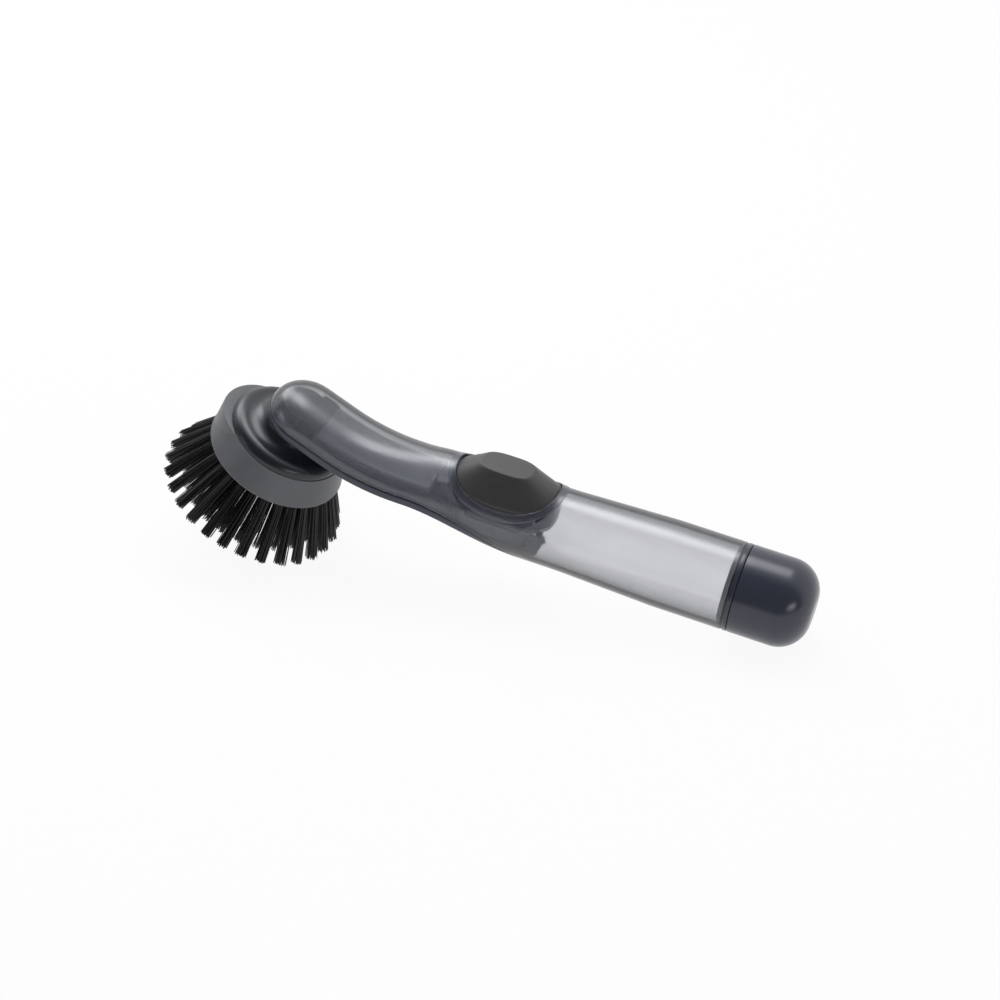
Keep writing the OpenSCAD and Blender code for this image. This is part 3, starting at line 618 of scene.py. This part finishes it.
def shell_ring(s, u, du, inset):
    """One ring of the shell: over the top from seam to seam, then back under the belly."""
    tube = u <= JOIN_U
    r = tube_radius(s, u, inset) if tube else s.grip_radius - inset
    w = chord(r, du)
    level = seam(s, max(u, OPENING_U))
    if level < 0:
        start = math.asin(max(-1, level / (s.grip_radius - inset)))
    else:
        start = math.acos(min(1, half_width(s, u, du, level, inset) / w)) if w > 1e-9 else math.pi / 2
    top = []
    for a in steps(start, math.pi - start, TOPS):
        y = w * math.cos(a)
        if a < 0 or a > math.pi or tube:
            z = r * math.sin(a)
        else:
            z = dome(s, u, inset) * left(math.hypot(du, y) / r, dome_power(u))
        top.append((y, z))
    if u >= OPENING_U:
        top[0] = (top[0][0], level)
        top[-1] = (top[-1][0], level)
        low = [(y, level) for y in steps(top[-1][0], top[0][0], BOTTOMS)[1:-1]]
    else:
        turns = steps(math.pi - start, 2 * math.pi + start, BOTTOMS)[1:-1]
        low = [(r * math.cos(a), r * math.sin(a)) for a in turns]
    floor = -math.inf if inset else belly(s, u)
    return bent(u, [(y, max(z, floor)) for y, z in top + low])


def shell_rings(s, inset):
    """All rings of one skin, from the collar to the tip of the nose."""
    reach = (s.grip_radius - inset) * left(seam(s, NOSE_U) / dome(s, NOSE_U, inset), dome_power(NOSE_U))
    along = [0, 0.3 * MM] + steps(3 * MM, OPENING_U, 28) + steps(75.5 * MM, JOIN_U, 17)
    along += steps(JOIN_U, NOSE_U, 24)[1:]
    rings = [shell_ring(s, u, 0.0, inset) for u in along]
    if not inset:
        lead_in = (s.handle_radius - 0.25 * MM) / s.handle_radius
        rings[0] = [(x, y * lead_in, z * lead_in) for x, y, z in rings[0]]
    for a in steps(0, 90, 18)[1:]:
        du = reach * math.sin(math.radians(a))
        rings.append(shell_ring(s, NOSE_U + du, du, inset))
    tip = across(NOSE_U + reach, seam(s, NOSE_U + reach))
    rings[-1] = [(tip[0], 0, tip[1])] * (TOPS + BOTTOMS)
    return rings


def on_tube(points, radius):
    """An outline laid on a tube along X."""
    return [(x, y, chord(radius, y)) for x, y in points]


def at_height(points, z, shift=0.0):
    """An outline laid flat at a height."""
    return [(x + shift, y, z) for x, y in points]


def button_sizes(s):
    """Half lengths of the button's foot, its hole, the bezel's plug and the bezel's lip."""
    foot = (s.button_length / 2, s.button_width / 2)
    hole = (foot[0] + 0.3 * MM, foot[1] + 0.3 * MM)
    plug = (hole[0] + 1.1 * MM, hole[1] + 0.6 * MM)
    lip = (hole[0] + 2.8 * MM, hole[1] + 1.3 * MM)
    return foot, hole, plug, lip


# ---- stage

ROOM_LIGHT = 0.34  # strength of the white room as a lamp, where 1 is white
PAPER_WHITE = 0.93  # share of plain white in the paper as it is seen, which leaves the shadow its place
LAMPS = (
    # name, place, width and height in metres, watts
    ("key_softbox", (-0.62, 0.5, 0.85), (1.0, 0.9), 14.0),
    ("top_softbox", (-0.02, 0.42, 1.0), (1.1, 0.8), 14.0),
    ("fill_softbox", (0.9, -0.7, 0.3), (0.8, 0.36), 4.0),
    ("side_softbox", (-0.85, -0.6, 0.4), (0.7, 0.7), 2.0),
)


def seen(tree):
    """Two factors that are 1 for rays from the camera and through clear plastic. The second adds reflections."""
    rays = node(tree, "ShaderNodeLightPath").outputs
    plain = {0: rays["Is Camera Ray"], 1: rays["Is Transmission Ray"]}
    plain = node(tree, "ShaderNodeMath", plain, operation="MAXIMUM").outputs[0]
    mirrored = {0: plain, 1: rays["Is Glossy Ray"]}
    return plain, node(tree, "ShaderNodeMath", mirrored, operation="MAXIMUM").outputs[0]


def soft_edges(lamp):
    """Lets a softbox fade towards its four edges, as its cloth does."""
    tree = bare_tree(lamp)
    at = node(tree, "ShaderNodeNewGeometry").outputs["Parametric"]
    parts = node(tree, "ShaderNodeSeparateXYZ", {"Vector": at}).outputs
    level = 1.0
    for part in (parts["X"], parts["Y"]):
        rise = node(tree, "ShaderNodeMath", {0: part, 1: 0.5}, operation="PINGPONG").outputs[0]
        fade = {"Value": rise, "From Min": 0.0, "From Max": 0.42}
        fade = node(tree, "ShaderNodeMapRange", fade, interpolation_type="SMOOTHSTEP").outputs["Result"]
        level = node(tree, "ShaderNodeMath", {0: level, 1: fade}, operation="MULTIPLY").outputs[0]
    glow = node(tree, "ShaderNodeEmission", {"Color": (0.95, 0.97, 1, 1), "Strength": level})
    node(tree, "ShaderNodeOutputLight", {"Surface": glow.outputs["Emission"]})


def white_paper():
    """Matt paper with a faint fibre, which the camera sees as nearly white."""
    material, tree, at = blank("white_paper")
    fibre = node(tree, "ShaderNodeTexNoise", {"Vector": at, "Scale": 1 / (1.5 * MM), "Detail": 3})
    base = linear("#F6F6F5")
    fleck = {0: fibre.outputs["Fac"], 6: toned(base, 0.99), 7: toned(base, 1.01)}
    fleck = node(tree, "ShaderNodeMix", fleck, data_type="RGBA").outputs[2]
    paper = node(tree, "ShaderNodeBsdfPrincipled", {"Base Color": fleck, "Roughness": 0.8})
    glow = node(tree, "ShaderNodeEmission", {"Color": (1, 1, 1, 1), "Strength": 1.0})
    share = node(tree, "ShaderNodeMath", {0: seen(tree)[1], 1: PAPER_WHITE}, operation="MULTIPLY").outputs[0]
    mix = node(tree, "ShaderNodeMixShader", {0: share, 1: paper.outputs["BSDF"], 2: glow.outputs["Emission"]})
    node(tree, "ShaderNodeOutputMaterial", {"Surface": mix.outputs["Shader"]})
    return material


def white_room():
    """Surroundings that light the object weakly, look white, and show darker in reflections from the front."""
    world = bpy.data.worlds.new("white_room")
    tree = bare_tree(world)
    plain, mirrored = seen(tree)
    room = node(tree, "ShaderNodeBackground", {"Color": (1, 1, 1, 1), "Strength": ROOM_LIGHT})
    toward = node(tree, "ShaderNodeTexCoord").outputs["Generated"]
    depth = node(tree, "ShaderNodeSeparateXYZ", {"Vector": toward}).outputs["Y"]
    bright = {"Value": depth, "From Min": -0.3, "From Max": 0.2, "To Min": 0.05, "To Max": 1.0}
    bright = node(tree, "ShaderNodeMapRange", bright, interpolation_type="SMOOTHSTEP").outputs["Result"]
    level = node(tree, "ShaderNodeMath", {0: plain, 1: bright}, operation="MAXIMUM").outputs[0]
    white = node(tree, "ShaderNodeBackground", {"Color": (1, 1, 1, 1), "Strength": level})
    sides = {0: mirrored, 1: room.outputs["Background"], 2: white.outputs["Background"]}
    mix = node(tree, "ShaderNodeMixShader", sides)
    node(tree, "ShaderNodeOutputWorld", {"Surface": mix.outputs["Shader"]})
    return world


class WAND_OT_stage(bpy.types.Operator):
    """Camera, floor, white surroundings and soft lamps"""

    bl_idname = "wand.stage"
    bl_label = "Stage"

    def execute(self, context):
        towards_camera = Vector((0.28377, -0.78820, 0.54610))
        camera = bpy.data.objects.new("view_camera", bpy.data.cameras.new("view_camera"))
        context.scene.collection.objects.link(camera)
        camera.data.lens = 83.78
        camera.data.sensor_width = 36
        camera.data.clip_start, camera.data.clip_end = 0.01, 20
        camera.location = Vector((0.24880, -0.67390, 0.50310))
        camera.rotation_euler = (-towards_camera).to_track_quat("-Z", "Y").to_euler()
        context.scene.camera = camera
        context.scene.view_settings.view_transform = "Standard"

        start_clean()
        bpy.ops.mesh.primitive_plane_add(size=6, location=(0, 0, 0))
        floor = context.object
        floor.name = "floor"
        bpy.ops.object.mode_set(mode="EDIT")
        bpy.ops.mesh.subdivide(number_cuts=6)
        bpy.ops.object.mode_set(mode="OBJECT")
        floor.data.materials.append(white_paper())
        context.scene.world = white_room()

        for name, place, size, power in LAMPS:
            lamp = bpy.data.lights.new(name, "AREA")
            lamp.shape = "RECTANGLE"
            lamp.size, lamp.size_y = size
            lamp.energy = power
            soft_edges(lamp)
            holder = bpy.data.objects.new(name, lamp)
            context.scene.collection.objects.link(holder)
            holder.location = place
            holder.visible_transmission = False
            aim = Vector(place) - Vector((0, 0, 0.03))
            holder.rotation_euler = aim.to_track_quat("Z", "Y").to_euler()
        return {"FINISHED"}


# ---- pieces


class WAND_OT_shell(bpy.types.Operator):
    """Clear handle shell with its domed neck, lofted in two skins and opened for the button"""

    bl_idname = "wand.shell"
    bl_label = "Clear shell"

    def execute(self, context):
        s = context.scene.wand_handle
        outer = loft("clear_shell", shell_rings(s, 0.0))
        inner = loft("inner_skin", shell_rings(s, s.wall))
        bpy.ops.mesh.flip_normals()
        join(outer, inner)
        bpy.ops.object.mode_set(mode="EDIT")
        bpy.ops.mesh.select_mode(type="FACE")
        bpy.ops.mesh.select_all(action="DESELECT")
        mesh = bmesh.from_edit_mesh(outer.data)
        place = mesh.verts.layers.int["place"]
        for f in mesh.faces:
            numbers = [v[place] % (TOPS + BOTTOMS) for v in f.verts]
            under = all(n >= TOPS or n == 0 for n in numbers) and sum(n == 0 for n in numbers) <= 2
            if under and max(-v.co.x for v in f.verts) > OPENING_U + 0.1 * MM:
                f.select = True
        bmesh.update_edit_mesh(outer.data)
        bpy.ops.mesh.delete(type="FACE")
        for rim in ((-math.inf, 1 * MM), (OPENING_U - 1 * MM, math.inf)):
            pick_open(outer, *rim)
            bpy.ops.mesh.bridge_edge_loops()
        soften(outer, 0.3 * MM, 60)

        plug = button_sizes(s)[2]
        edge = outline((plug[0] + 0.2 * MM, plug[1] + 0.2 * MM), BUTTON_POWER, 96)
        cutter = loft("button_cutter", [at_height(edge, 2 * MM), at_height(edge, 30 * MM)], True, True)
        only(cutter)
        cutter.location.x = -BUTTON_U
        bpy.ops.object.transform_apply()
        cut(outer, cutter)
        only(outer)
        bpy.ops.object.mode_set(mode="EDIT")
        pick_open(outer, -math.inf, math.inf)
        bpy.ops.mesh.fill_holes(sides=0)
        settle(outer, HANDLE, "handle", finish("clear_smoke_san"), "handle_shell")
        return {"FINISHED"}


class WAND_OT_base(bpy.types.Operator):
    """Plate that closes the neck from below, lofted from the grip to the nose"""

    bl_idname = "wand.base"
    bl_label = "Neck base"

    def execute(self, context):
        s = context.scene.wand_handle
        gap = 0.08 * MM
        groove_depth, groove_height = 0.45 * MM, 0.8 * MM
        places = [(u, 0.0) for u in steps(OPENING_U + gap, JOIN_U, 18) + steps(JOIN_U, NOSE_U, 24)[1:]]
        nose = s.grip_radius - 0.05 * MM
        for a in steps(0, 90, 18)[1:]:
            du = nose * math.sin(math.radians(a))
            places.append((NOSE_U + du, du))
        rings = []
        for u, du in places:
            top, low = seam(s, u) - gap, belly(s, u)
            side = []
            for z in [top, top - 0.35 * MM] + steps(top - groove_height, low, 6):
                groove = groove_depth * max(0, 1 - (top - z) / groove_height)
                z = max(z, low)
                side.append((max(0, half_width(s, u, du, z) - groove), z))
            floor = [(y, low) for y in steps(side[-1][0], -side[-1][0], 14)[1:-1]]
            roof = [(y, top) for y in steps(-side[0][0], side[0][0], 14)[1:-1]]
            rings.append(bent(u, side + floor + [(-y, z) for y, z in reversed(side)] + roof))
        base = loft("neck_plate", rings, True, True)
        start_clean()
        bpy.ops.mesh.primitive_cylinder_add(vertices=64, radius=5 * MM, depth=12 * MM)
        bore = context.object
        x, z = across(HEAD_U, 0)
        bore.matrix_world = Matrix.Translation((x, 0, z)) @ Matrix.Rotation(BEND, 4, "Y")
        soften(base, 0.3 * MM, 55, segments=3)
        cut(base, bore)
        settle(base, HANDLE, "handle", finish("smooth_abs"), "neck_base")
        return {"FINISHED"}


class WAND_OT_bezel(bpy.types.Operator):
    """Smoke ring round the button, with a soft lip on the grip"""

    bl_idname = "wand.bezel"
    bl_label = "Bezel"

    def execute(self, context):
        s = context.scene.wand_handle
        hole, plug, lip = button_sizes(s)[1:]

        def around(size, grow=0.0):
            return outline((size[0] + grow * MM, size[1] + grow * MM), BUTTON_POWER, 120)

        # Half sizes, millimetres by which they grow, and height over the grip
        profile = (
            (lip, 0, 0.05), (lip, 0, 0.2), (lip, -0.08, 0.3), (lip, -0.3, 0.36), (hole, 0.6, 0.48),
            (hole, 0.38, 0.58), (hole, 0.2, 0.6), (hole, 0.06, 0.52), (hole, 0, 0.35),
        )
        rings = [on_tube(around(size, grow), s.grip_radius + high * MM) for size, grow, high in profile]
        rings += [at_height(around(size), 4.45 * MM) for size in (hole, plug)]
        rings.append(on_tube(around(plug), s.grip_radius + 0.05 * MM))
        bezel = loft("button_bezel_ring", rings, closed=True)
        settle(bezel, BUTTON, "handle", finish("dark_smoke_san"), "button_bezel")
        return {"FINISHED"}


class WAND_OT_button(bpy.types.Operator):
    """Hollow rubber button: a skirt, a curved brim, sloped sides and a flat facet"""

    bl_idname = "wand.button"
    bl_label = "Button"

    def execute(self, context):
        s = context.scene.wand_handle
        foot = button_sizes(s)[0]
        top = s.button_height
        count, wall = 120, 1.8 * MM

        def facet(a, b, z):
            """Ring of the top facet, which lies a little towards the brush."""
            return at_height(outline((a, b), 3, count), z, -1 * MM)

        def skirt(inset):
            return at_height(outline((foot[0] - inset, foot[1] - inset), BUTTON_POWER, count), 7.5 * MM)

        def brim(inset):
            """Ring where the sides start, curved like the grip and lower at both ends."""
            a, b = foot[0] - inset, foot[1] - inset
            laid = on_tube(outline((a, b), BUTTON_POWER, count), s.grip_radius + 0.9 * MM - inset)
            return [(x, y, z - 1.3 * MM * (x / a) ** 2) for x, y, z in laid]

        outer = [facet(9.8 * MM, 6.1 * MM, top), facet(10.4 * MM, 6.7 * MM, top - 0.4 * MM), brim(0), skirt(0)]
        inner = [skirt(wall), brim(wall), facet(9.8 * MM - wall / 2, 6.1 * MM - wall / 2, top - wall)]
        button = loft("pump_button", outer + inner, True, True)
        for ring, size, segments in ((2, 0.5, 4), (0, 0.3, 3), (1, 0.5, 3)):
            pick_ring(button, count, ring)
            bpy.ops.mesh.bevel(offset=size * MM, segments=segments, affect="EDGES")
        bpy.ops.mesh.select_all(action="SELECT")
        bpy.ops.mesh.normals_make_consistent(inside=False)
        settle(button, BUTTON, "button", finish("button_tpe"), "squeeze_button", smooth_angle=50)
        return {"FINISHED"}


THREAD_LEAD, THREAD_TURNS = 4 * MM, 1.25


class WAND_OT_collar(bpy.types.Operator):
    """Collar in the end of the handle: flange, short plug and threaded filling neck"""

    bl_idname = "wand.collar"
    bl_label = "End collar"

    def execute(self, context):
        s = context.scene.wand_handle
        r = s.handle_radius / MM
        profile = [
            (r - 4.3, -1.8), (r - 2.3, -1.8), (r - 2.3, 0.7), (r, 0.7), (r, 2.4),
            (r - 3.9, 2.4), (r - 3.9, 15), (10.6, 15), (10.6, 0.5), (r - 4.3, -1),
        ]
        collar = turned("end_collar_ring", mm(profile))
        soften(collar, 0.22 * MM, 50)
        thread = ((r - 4.3) * MM, (r - 2.8) * MM, 6.2 * MM)
        join(collar, *helix("collar_thread", *thread, THREAD_LEAD, THREAD_TURNS))
        settle(collar, AXIS, "handle", finish("satin_abs"), "end_collar")
        return {"FINISHED"}


class WAND_OT_cap(bpy.types.Operator):
    """Rounded screw cap with its wall, press ring and thread"""

    bl_idname = "wand.cap"
    bl_label = "End cap"

    def execute(self, context):
        s, h = context.scene.wand_handle, context.scene.wand_head
        r, rounding, wall = s.handle_radius, h.cap_round, 2.2 * MM
        start = 2.6 * MM
        end = start + h.cap_length
        corner = (r - rounding, end - rounding)
        outer = [(0, end), (corner[0] * 0.6, end)] + arc(corner, (rounding, rounding), 90, 0, 20)
        outer += [(r, z) for z in steps(corner[1], start + 0.4 * MM, 5)[1:]]
        outer += [(r - 0.06 * MM, start + 0.15 * MM), (r - 0.3 * MM, start)]
        bore = r - wall
        inner = [(bore, start), (bore, corner[1])]
        inner += arc(corner, (rounding - wall, rounding - wall), 0, 90, 14)[1:] + [(0, end - wall)]
        cap = turned("screw_cap", outer + inner, closed=False)
        press = turned("press_ring", mm(((10.4, 16.5), (12.0, 16.5), (12.0, 26.6), (10.4, 27.2))))
        thread = (bore - 1.3 * MM, bore + 0.4 * MM, 4.2 * MM)
        join(cap, press, *helix("cap_thread", *thread, THREAD_LEAD, THREAD_TURNS))
        settle(cap, AXIS, "cap", finish("satin_abs"), "end_cap")
        return {"FINISHED"}


class WAND_OT_hub(bpy.types.Operator):
    """Glossy bell under the neck, with the spigot and quick thread that carry the head"""

    bl_idname = "wand.hub"
    bl_label = "Head hub"

    def execute(self, context):
        h = context.scene.wand_head
        r, wall = h.hub_radius / MM, 1.8
        low, top, spigot = 11.1, 20.0, 6.85
        corner = (r - 4.4, low + 0.3)
        flare = (corner[0] - 12, top - corner[1] - 3.6)
        profile = [(r, low)]
        profile += arc(corner, (4.4, 3.6), 0, 90, 14)
        profile += arc((corner[0], top), flare, 270, 180, 18)[1:]
        profile += [(5, top), (5, 14.4), (3, 14.4), (3, spigot), (7.3, spigot), (7.6, spigot + 0.3)]
        profile.append((7.6, top - wall))
        profile += arc((corner[0], top), (flare[0] + wall, flare[1] + wall), 194, 270, 14)
        profile += arc(corner, (2.6, 1.8), 90, 0, 6)[1:] + [(r - wall, low)]
        hub = turned("glossy_hub", mm(profile), count=160)
        join(hub, *helix("quick_thread", 7.2 * MM, 8.85 * MM, (spigot + 1.2) * MM, 16 * MM, 0.14, starts=3))
        settle(hub, HEAD, "handle", finish("gloss_abs"), "head_hub", smooth_angle=40)
        return {"FINISHED"}


class WAND_OT_ring(bpy.types.Operator):
    """Ring round the bristles: a cone that runs out into the scraper lip in front"""

    bl_idname = "wand.ring"
    bl_label = "Head ring"

    def execute(self, context):
        h = context.scene.wand_head
        spokes = circle(240)
        lip_r, lip_at, top_r = 19 * MM, -8.3 * MM, 23.3 * MM

        def flat(radius, z):
            return [(radius * c, radius * s, z) for c, s in spokes]

        def side(share, z, inset=0.0):
            """Outline at a height: the cone, or the steeper lip where it stands out in front."""
            cone = h.ring_radius * (1 - share) + top_r * share
            round_lip = lip_r - 0.35 * MM * (1 - share)
            points = []
            for c, s in spokes:
                lip = lip_at * c + math.sqrt(round_lip**2 - (lip_at * s) ** 2)
                r_here = max(cone, lip) - inset
                points.append((r_here * c, r_here * s, z))
            return points

        top = h.ring_height
        rings = [side(0, 0.0, 0.35 * MM), side(0, 0.15 * MM, 0.08 * MM), side(0, 0.6 * MM)]
        rings += [side(t, 0.6 * MM + (top - 1.2 * MM) * t) for t in steps(0, 1, 22)[1:]]
        rings += [side(1, top - 0.25 * MM, 0.05 * MM), side(1, top - 0.06 * MM, 0.2 * MM), side(1, top, 0.5 * MM)]
        rings += [flat(20.5 * MM, top), flat(20.5 * MM, 6.1 * MM), flat(23.9 * MM, 6.1 * MM)]
        rings += [flat(23.9 * MM, 4.5 * MM), flat(25.6 * MM, 0.0)]
        ring = loft("scraper_ring", rings, closed=True)
        settle(ring, HEAD, "brush_head", finish("satin_polypropylene"), "head_ring", smooth_angle=12)
        return {"FINISHED"}


ROWS = (
    # node, piece, tufts, radius at the plate, radius at the tips, tip depth, share of the filaments, bed's edge
    ("bristles_outer", "nylon_outer_row", 28, 21.2, 34.9, 23.2, 1.0, 1.9),
    ("bristles_middle", "nylon_middle_row", 22, 16.4, 26.5, 24.6, 0.75, 2.2),
    ("bristles_inner", "nylon_inner_row", 15, 11.6, 17.5, 25.2, 0.75, 2.2),
)
SIDES = 5
SECTIONS = (0, 3, 12, 20, 28)  # heights of a filament's sections
GOLDEN_ANGLE = 2.39996  # spreads the filaments evenly over their hole
HOLE_RADIUS = 1.5 * MM


def filament(radius):
    """One nylon filament: a five-sided prism in four lengths."""
    ring = [(radius * c, radius * s) for c, s in circle(SIDES)]
    return loft("filament", [[(x, y, z * MM) for x, y in ring] for z in SECTIONS], True, True)


def tuft_points(chance, row, angle, count, radius):
    """Five sections of every filament of one tuft, in the head's frame."""
    foot_r, tip_r, depth = (v * MM for v in row[3:6])
    lean = math.atan2(tip_r - foot_r, depth + 1.5 * MM)
    spin = Matrix.Rotation(angle, 4, "Z")
    sway = chance.uniform(-0.012, 0.012)
    points = []
    for k in range(count):
        reach = math.sqrt((k + 0.5) / count)
        at = k * GOLDEN_ANGLE + chance.uniform(-0.15, 0.15)
        off = Vector((math.cos(at), math.sin(at))) * reach
        foot = Vector((foot_r + HOLE_RADIUS * off.x, HOLE_RADIUS * off.y))
        spread = ((2.2 if foot_r > 20 * MM else 2.7) + chance.uniform(-0.3, 0.4)) * MM
        trim = chance.choice((0, 0, 0, 0.35, 0.8)) * chance.random() * MM + chance.uniform(0, 0.35) * MM
        tip = Vector(
            (
                tip_r + spread * off.x * math.cos(lean) - trim * math.sin(lean),
                spread * off.y + sway * depth,
                -depth + trim * math.cos(lean) + spread * off.x * math.sin(lean) * 0.8,
            )
        )
        start = Vector((foot.x, foot.y, 1.9 * MM))
        bow = chance.uniform(-0.25, 0.25) * MM
        line = [Vector((foot.x, foot.y, 4.6 * MM)), start]
        for t in (0.35, 0.7, 1.0):
            p = start.lerp(tip, t)
            p.y += bow * math.sin(math.pi * t)
            p.x += 0.5 * MM * math.sin(math.pi * t) * math.sin(lean)
            line.append(p)
        turned_by = chance.uniform(0, 6.28)
        for n, p in enumerate(line):
            tilt = 0 if n == 0 else (lean / 2 if n == 1 else lean)
            across_x = Vector((math.cos(tilt), 0, math.sin(tilt)))
            for i in range(SIDES):
                a = turned_by + 2 * math.pi * i / SIDES
                q = p + across_x * (radius * math.cos(a)) + Vector((0, radius * math.sin(a), 0))
                points.append(spin @ q)
    return points


class WAND_OT_bristles(bpy.types.Operator):
    """Three rows of nylon tufts: one filament is modelled, copied into a tuft, and the tuft round the row"""

    bl_idname = "wand.bristles"
    bl_label = "Bristles"

    def execute(self, context):
        h = context.scene.wand_head
        chance = random.Random(7)
        down = HEAD.inverted()
        lowest = 0.05 * MM
        for row in ROWS:
            node_name, name, tufts, foot_r, _, _, fill, edge = row
            count = max(7, round(h.filaments * fill))
            rod = filament(h.filament_radius)
            start_clean()
            tuft = join(rod, *[duplicate(rod) for _ in range(count - 1)])
            copies = []
            for i in range(tufts):
                copy = duplicate(tuft)
                angle = 2 * math.pi * (i + 0.5) / tufts
                points = tuft_points(chance, row, angle, count, h.filament_radius)
                for v, p in zip(copy.data.vertices, points):
                    at = HEAD @ p
                    at.z = max(at.z, lowest)
                    v.co = down @ at
                copies.append(copy)
            bpy.data.objects.remove(tuft)
            ends = (foot_r - 2.2, foot_r + edge)
            bed = turned(f"{name}_bed", mm(((ends[0], 1.5), (ends[1], 1.5), (ends[1], 2.2), (ends[0], 2.2))), count=96)
            piece = join(*copies)
            face_out(piece)
            face_out(bed)
            shades = []
            per = SIDES * len(SECTIONS)
            for _ in range(len(piece.data.vertices) // per):
                shades += [chance.random() ** 2] * per
            for part, values in ((piece, shades), (bed, [0.2] * len(bed.data.vertices))):
                part.data.attributes.new("shade", "FLOAT", "POINT").data.foreach_set("value", values)
            join(piece, bed)
            piece.name = piece.data.name = name
            settle(piece, HEAD, "brush_head", finish("black_nylon"), node_name, smooth_angle=60)
        return {"FINISHED"}


class WAND_OT_duct(bpy.types.Operator):
    """Flat soap duct that follows the bend inside the neck"""

    bl_idname = "wand.duct"
    bl_label = "Soap duct"

    def execute(self, context):
        half, middle, wall = (10, 2.2), 4.1 * MM, 1.2

        def ring(u, inset):
            section = outline(((half[0] - inset) * MM, (half[1] - inset) * MM), 7, 64)
            return bent(u, [(y, middle + z) for y, z in section])

        along = steps(115.5 * MM, HEAD_U - 10.2 * MM, 26)
        rings = [ring(u, 0) for u in along] + [ring(u, wall) for u in reversed(along)]
        duct = loft("soap_channel", rings, closed=True)
        settle(duct, HANDLE, "handle", finish("smoked_polycarbonate"), "soap_duct")
        return {"FINISHED"}


CAD_FINISHES = {
    "button_diaphragm": "button_tpe",
    "pump_cup": "smoked_polycarbonate",
    "inlet_valve": "milky_silicone",
    "outlet_valve": "milky_silicone",
    "duct_gasket": "nitrile_rubber",
    "outlet_elbow": "dark_polypropylene",
    "elbow_seal": "nitrile_rubber",
    "head_seal": "nitrile_rubber",
    "bristle_plate": "satin_polypropylene",
    "tuft_anchors": "drawn_brass",
    "drip_valve": "milky_silicone",
    "valve_retainer": "satin_polypropylene",
    "collar_seal": "nitrile_rubber",
    "cap_liner": "milky_silicone",
}


class WAND_OT_inner(bpy.types.Operator):
    """Finishes for the pump, valves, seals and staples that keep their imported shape"""

    bl_idname = "wand.inner"
    bl_label = "Inner pieces"

    def execute(self, context):
        for name, material in CAD_FINISHES.items():
            piece = frame["nodes"][name]
            piece.data.materials.clear()
            piece.data.materials.append(finish(material))
        return {"FINISHED"}


PIECES = (
    WAND_OT_stage,
    WAND_OT_shell,
    WAND_OT_base,
    WAND_OT_bezel,
    WAND_OT_button,
    WAND_OT_collar,
    WAND_OT_cap,
    WAND_OT_hub,
    WAND_OT_ring,
    WAND_OT_bristles,
    WAND_OT_duct,
    WAND_OT_inner,
)
GROUPS = (("wand_handle", WAND_PG_handle), ("wand_head", WAND_PG_head), ("wand_colours", WAND_PG_colours))


class WAND_PT_panel(bpy.types.Panel):
    """Sizes, colours and pieces of the dish wand"""

    bl_idname = "WAND_PT_panel"
    bl_label = "Dish wand"
    bl_space_type = "VIEW_3D"
    bl_region_type = "UI"
    bl_category = "Dish wand"

    def draw(self, context):
        for name, group in GROUPS:
            box = self.layout.box()
            for key in group.__annotations__:
                box.prop(getattr(context.scene, name), key)
        for piece in PIECES:
            self.layout.operator(piece.bl_idname)


def register():
    """Registers the sizes, the pieces and the panel."""
    for name, group in GROUPS:
        bpy.utils.register_class(group)
        setattr(bpy.types.Scene, name, PointerProperty(type=group))
    for piece in (*PIECES, WAND_PT_panel):
        bpy.utils.register_class(piece)


def unregister():
    """Removes what register added."""
    for piece in (WAND_PT_panel, *reversed(PIECES)):
        bpy.utils.unregister_class(piece)
    for name, group in reversed(GROUPS):
        delattr(bpy.types.Scene, name)
        bpy.utils.unregister_class(group)


def main():
    """Builds every piece."""
    register()
    for piece in PIECES:
        getattr(bpy.ops.wand, piece.bl_idname.split(".")[1])()


if __name__ == "__main__":
    main()
